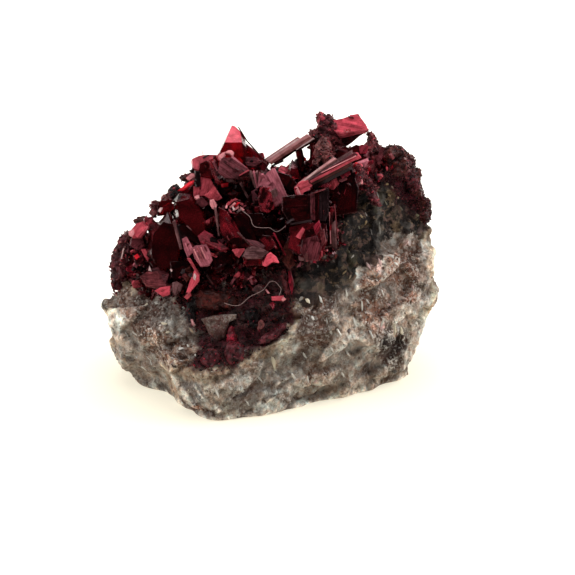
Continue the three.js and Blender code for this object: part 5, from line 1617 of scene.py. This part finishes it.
# ----------------------------------------
# The quartz chips. Small grains and needles of paler quartz that stand out of the broken stone.
# They are part of the lump and half sunk in it.

# Where the ones that stand out lie: from (across, up) to (across, up), width and tone.
CHIPS = [
    (-13.6, 5.8, -13.2, 5.4, 0.14, "white"), (-12.9, 5.8, -12.3, 5.3, 0.17, "white"),
    (-11.8, 6.2, -11.4, 6.0, 0.14, "white"), (-12.0, 4.4, -11.3, 3.7, 0.21, "white"),
    (-12.6, 4.3, -12.3, 3.8, 0.12, "white"), (-10.9, 7.1, -10.5, 5.9, 0.43, "cream"),
    (-10.1, 6.9, -9.5, 6.5, 0.52, "white"), (-9.4, 5.0, -8.7, 4.7, 0.43, "cream"),
    (-9.0, 4.1, -8.5, 4.1, 0.26, "cream"), (-7.9, 2.7, -7.3, 2.7, 0.34, "white"),
    (-7.1, 3.1, -6.9, 2.8, 0.17, "white"), (-6.6, 2.3, -6.1, 2.0, 0.21, "white"),
    (-8.5, 5.7, -8.0, 4.7, 0.43, "grey"), (-7.6, 6.2, -7.2, 6.2, 0.34, "white"),
    (-7.0, 4.6, -6.5, 4.0, 0.26, "tan"), (-6.7, 5.3, -6.4, 4.5, 0.34, "rose"),
    (-10.7, 2.2, -10.2, 1.6, 0.17, "white"), (-9.3, 2.4, -8.8, 1.9, 0.11, "tan"),
    (-8.8, 2.2, -8.1, 1.5, 0.11, "tan"), (-9.1, 1.7, -8.5, 1.3, 0.12, "tan"),
    (-11.8, 2.2, -11.4, 1.9, 0.17, "white"), (-11.2, 1.3, -10.7, 0.8, 0.17, "white"),
    (-10.5, 1.9, -10.1, 1.3, 0.15, "white"), (-12.5, 2.6, -12.3, 1.9, 0.26, "white"),
    (10.0, 10.7, 10.6, 10.5, 0.24, "white"), (10.4, 10.1, 11.2, 9.8, 0.24, "white"),
    (11.5, 12.2, 11.8, 11.2, 0.29, "rose"), (12.3, 11.0, 12.4, 10.2, 0.21, "cream"),
    (9.4, 7.9, 9.8, 7.1, 0.17, "white"), (9.4, 5.4, 9.8, 4.4, 0.28, "white"),
    (10.6, 5.2, 10.9, 3.8, 0.34, "cream"), (11.1, 4.7, 11.6, 3.8, 0.38, "cream"),
    (7.7, 6.9, 7.9, 5.7, 0.21, "white"), (6.3, 7.8, 6.6, 6.8, 0.22, "white"),
    (4.8, 4.8, 5.4, 3.5, 0.26, "white"), (9.2, 10.5, 9.6, 9.5, 0.34, "rose"),
    (-2.7, -0.8, -2.1, -1.0, 0.34, "white"), (-0.5, -0.7, -0.2, -1.4, 0.21, "white"),
    (1.7, 0.8, 2.2, -0.2, 0.26, "white"), (3.5, -0.1, 4.2, 0.0, 0.21, "rose"),
    (3.4, 5.5, 3.7, 5.0, 0.26, "white"), (4.1, 7.2, 4.4, 6.4, 0.26, "white"),
    (4.7, 5.4, 4.8, 4.7, 0.17, "white"), (2.9, 6.9, 3.4, 6.5, 0.34, "cream"),
    (0.1, 2.2, 0.4, 0.8, 0.38, "cream"), (1.0, 3.5, 1.1, 2.9, 0.26, "white"),
    (2.7, 2.5, 3.0, 1.8, 0.21, "white"), (5.6, 4.4, 6.0, 3.7, 0.26, "white"),
    (6.9, 5.4, 7.4, 4.4, 0.26, "white"), (8.4, 4.4, 8.8, 3.4, 0.26, "white"),
    (6.3, 2.7, 6.8, 2.0, 0.26, "white"), (5.0, 3.0, 5.4, 2.2, 0.22, "white"),
    (12.2, 8.3, 12.4, 7.8, 0.26, "rose"), (13.0, 12.2, 13.3, 11.2, 0.26, "white"),
    (9.9, 6.6, 10.5, 6.4, 0.17, "rose"), (8.1, 7.0, 8.5, 6.4, 0.17, "white"),
    (3.7, 4.3, 4.0, 3.8, 0.21, "tan"), (3.9, 3.1, 4.3, 2.5, 0.17, "tan"),
    (-2.2, -1.7, -1.7, -2.2, 0.21, "white"), (-3.6, -0.4, -3.2, -0.9, 0.22, "white"),
    (-4.8, -0.5, -4.3, -1.5, 0.21, "white"), (-1.2, 0.5, -0.7, -0.2, 0.22, "white"),
    (2.9, 0.4, 3.4, -0.2, 0.21, "white"), (6.0, 0.8, 6.4, 0.1, 0.22, "white"),
    (9.9, 16.9, 10.2, 16.7, 0.28, "ochre"), (10.3, 16.7, 10.7, 16.4, 0.26, "taupe"),
    (10.1, 16.1, 10.4, 15.7, 0.31, "ochre"), (10.9, 15.8, 11.1, 15.6, 0.26, "tan"),
    (10.4, 15.2, 10.7, 15.0, 0.26, "taupe"), (11.1, 15.0, 11.5, 14.6, 0.17, "olive"),
    (9.8, 15.5, 10.1, 14.9, 0.15, "olive"), (7.6, 14.1, 7.9, 13.8, 0.21, "ochre"),
    (8.0, 13.6, 8.3, 13.2, 0.26, "ochre"), (7.4, 13.2, 7.7, 12.8, 0.15, "olive"),
    (8.1, 14.4, 8.3, 13.9, 0.14, "grey"), (9.0, 17.9, 9.3, 17.0, 0.15, "grey"),
    (9.3, 16.4, 9.2, 15.2, 0.15, "grey"), (9.4, 13.7, 9.4, 12.4, 0.19, "grey"),
    (8.6, 13.0, 8.8, 12.0, 0.14, "slate"), (6.5, 10.7, 6.8, 11.2, 0.17, "olive"),
    (6.8, 10.3, 7.2, 10.7, 0.14, "grey"), (6.1, 8.9, 6.5, 9.4, 0.17, "ochre"),
    (6.6, 8.4, 6.9, 9.0, 0.15, "tan"), (8.2, 10.1, 8.6, 9.3, 0.29, "rose"),
    (2.4, 6.7, 2.8, 7.1, 0.34, "grey"), (1.0, 4.0, 1.1, 4.5, 0.31, "tan"),
    (-1.0, 4.4, -0.7, 4.9, 0.34, "rose"), (-2.6, 2.5, -2.3, 2.9, 0.17, "white"),
]
IN_FRONT = -30  # a depth that lies before all of the stone
SPREAD_COUNT = 200  # chips spread by chance over the bare stone
SHORTEST_CHIP, CHIP_RANGE = 0.14, 4.5  # the longest are this many times as long
STONE_MIX = ("cream", "stone", "grey", "grey", "tan", "slate", "umber", "brown", "taupe")
NIGHT_MIX = ("black", "black", "umber", "umber", "slate", "slate", "olive", "brown")
NIGHT_EDGE = -0.3  # chips take the dark rock's tones a little outside its rim
# These run mostly down the stone, and more aslant left of its ridge than right of it.
RIDGE, LEFT_RUN, RIGHT_RUN = 2, Vector((0.75, 0.2, -1)), Vector((0.15, 0.3, -1))


class Chips(Crystals):
    """Gathers broken pieces of the stone, in the stone's tones."""

    def face(self, indices, tone, shade=1.0):
        self.faces.append(tuple(indices))
        self.tints.append([min(1.0, c * shade) for c in STONE_TONES[tone]] + [1])

    def chip(self, middle, normal, along, length, width, tone):
        """A worn splinter, half sunk in the stone."""
        rng = self.rng
        along = (along - normal * along.dot(normal)).normalized()
        height = min(width * 0.3, 0.08)
        corners = rng.choice((4, 5, 6))
        outline = []
        for k in range(corners):
            angle = math.tau * (k + rng.uniform(-0.3, 0.3)) / corners
            reach = rng.uniform(0.7, 1.1)
            x, y = width / 2 * math.cos(angle) * reach, length / 2 * math.sin(angle) * reach
            outline.append((x, y))
        small = [(x * 0.6 + width * 0.1, y * 0.65) for x, y in outline]
        rings = [(-height, outline), (0.02, outline), (height, small)]
        place = (middle, along.cross(normal), along, normal)
        self.stacked(rings, place, tone, rng.uniform(0.6, 0.95))

    def block(self, tone, depth, thick, outline):
        """A larger broken piece that stands out, worn round its edges."""
        middle = middle_of(outline)
        flat = anticlockwise([(a - middle[0], u - middle[1]) for a, u in outline])
        rings = [(-thick, flat)]
        for level, k in ((-0.45, 1.0), (-0.14, 0.9), (0.05, 0.62)):
            rings.append((level, [(a * k, u * k) for a, u in flat]))
        self.stacked(rings, (on_drawing(*middle, depth), Vector((1, 0, 0)), DRAWING_UP, -SIGHT), tone)


chips = Chips(61)
for x0, u0, x1, u1, wide, tone in CHIPS:
    start = on_drawing((x0 + x1) / 2, (u0 + u1) / 2, IN_FRONT)
    hit, normal, _, _ = lump_surface.ray_cast(start, SIGHT)
    if hit is None:
        continue
    along = Vector((1, 0, 0)) * (x1 - x0) + DRAWING_UP * (u1 - u0)
    chips.chip(hit, normal, along, along.length, wide, tone)
bare = -np.maximum.reduce([in_druse, in_pocket, in_shoulder])
on_stone = np.where((bare > 0.3) & (centres[:, 2] > 0.3), areas, 0)
on_stone = on_stone * np.where(in_night > NIGHT_EDGE, 1.3, 1)
for i in chips.rng.choices(range(len(on_stone)), weights=on_stone, k=SPREAD_COUNT):
    run = LEFT_RUN if centres[i][0] < RIDGE else RIGHT_RUN
    along = run + any_way(chips.rng)
    length = SHORTEST_CHIP * CHIP_RANGE ** (chips.rng.random() ** 1.8)
    tone = chips.rng.choice(STONE_MIX)
    if in_night[i] > NIGHT_EDGE:
        tone = chips.rng.choice(NIGHT_MIX)
    width = length * chips.rng.uniform(0.4, 0.95)
    chips.chip(Vector(centres[i]), Vector(facing[i]), along, length, width, tone)

splinter = bpy.data.materials.new("quartz chips")
tree, shader, _ = nodes_of(splinter)
link(attribute("tint", "Color"), shader.inputs["Base Color"])
set_sockets(shader, {
    "Roughness": 0.3, "IOR": 1.54, "Specular IOR Level": 0.2, "Subsurface Weight": 0.3,
    "Subsurface Radius": (1.0, 0.9, 0.75), "Subsurface Scale": 0.5 * MM,
})
splinters = chips.finished("quartz_chips", splinter)
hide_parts("quartz_matrix")
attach(splinters, "root")

# ----------------------------------------
# The pocket block. A broken piece of the lump that stands out in the hollow. It is stained brown
# and wine red, most of all toward its foot.

# Depth, thickness, outline.
BLOCK = (-8.0, 1.3, [(-5.9, 5.2), (-4.9, 5.5), (-3.8, 5.6), (-2.9, 5.6), (-2.9, 5.2), (-3.5, 4.9),
        (-3.7, 4.2), (-3.8, 3.6), (-4.6, 3.2), (-5.2, 3.8), (-5.5, 4.6)])

blocks = Chips(62)
blocks.block("grey", *BLOCK)
block = blocks.finished("pocket_block", quartz)
heights = rows_of(block.data.vertices, "co", 3)[:, 2]
high = (heights - heights.min()) / np.ptp(heights)
add_attribute(block.data, "stain_and_shade", [(*STONE_TONES["brown"], 1)] * len(high), "FLOAT_COLOR")
add_attribute(block.data, "stain_and_shade_cover", 0.98 - 0.4 * high ** 3)
add_attribute(block.data, "crimson", 0.92 - 0.5 * high ** 2)
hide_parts("quartz_matrix")
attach(block, "root")

# ----------------------------------------
# The lint. Two fine curly fibres of dust, such as cotton sheds. They lie loose, one across the
# druse and one across the pocket.

LINT_THICKNESS = 0.032
LINT_STEPS = 6  # steps along a fibre from one point of its route to the next
LINT_SIDES = 6  # the fibre's section is a hexagon
# The routes of the fibres: across, up and depth of each point.
LINT = [
    [(-2.32, 14.28, -8.6), (-1.72, 13.76, -8.8), (-1.39, 12.99, -9.0), (-0.63, 12.82, -9.1),
        (-0.04, 12.81, -9.2), (0.55, 12.48, -9.2), (1.30, 12.92, -10.0)],
    [(-3.91, 6.52, -8.9), (-3.24, 6.31, -9.0), (-2.56, 6.35, -9.1), (-1.72, 7.02, -9.2),
        (-0.71, 7.51, -9.4), (-0.38, 7.85, -9.5), (-0.04, 8.27, -9.4), (0.38, 8.27, -9.3),
        (0.71, 7.94, -9.3), (0.88, 7.61, -9.2), (0.71, 7.10, -9.3)],
]


def smooth_line(points):
    """Points close together on a smooth curve through the ones given."""
    padded = [points[0], *points, points[-1]]
    line = []
    for before, a, b, after in zip(padded, padded[1:], padded[2:], padded[3:]):
        for k in range(LINT_STEPS):
            t = k / LINT_STEPS
            squared = 2 * before - 5 * a + 4 * b - after
            cubed = 3 * a - before - 3 * b + after
            line.append(0.5 * (2 * a + (b - before) * t + squared * t * t + cubed * t ** 3))
    return line + [points[-1]]


def lint_fibre(route):
    """The spots and faces of a round fibre along a smooth line through its route."""
    line = smooth_line([on_drawing(*point) for point in route])
    spots, faces, sides = [], [], LINT_SIDES
    for i, place in enumerate(line):
        along = (line[min(i + 1, len(line) - 1)] - line[max(i - 1, 0)]).normalized()
        side = along.cross(SIGHT).normalized()
        other = along.cross(side)
        for k in range(sides):
            angle = math.tau * k / sides
            outward = side * math.cos(angle) + other * math.sin(angle)
            spots.append(place + outward * LINT_THICKNESS / 2)
            if i:
                a, b, n = (i - 1) * sides, i * sides, (k + 1) % sides
                faces.append((a + k, a + n, b + n, b + k))
    faces.append(tuple(reversed(range(sides))))
    faces.append(tuple(len(spots) - sides + k for k in range(sides)))
    return spots, faces


spots, faces = [], []
for route in LINT:
    more, rings = lint_fibre(route)
    faces += [tuple(i + len(spots) for i in ring) for ring in rings]
    spots += more
lint_mesh = bpy.data.meshes.new("lint")
lint_mesh.from_pydata([tuple(s * MM) for s in spots], [], faces)
cotton = bpy.data.materials.new("lint")
_, shader, _ = nodes_of(cotton)
set_sockets(shader, {"Base Color": (0.30, 0.20, 0.19, 1), "Roughness": 0.7})
lint_mesh.materials.append(cotton)
lint = in_scene("lint", lint_mesh)
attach(lint, "root")
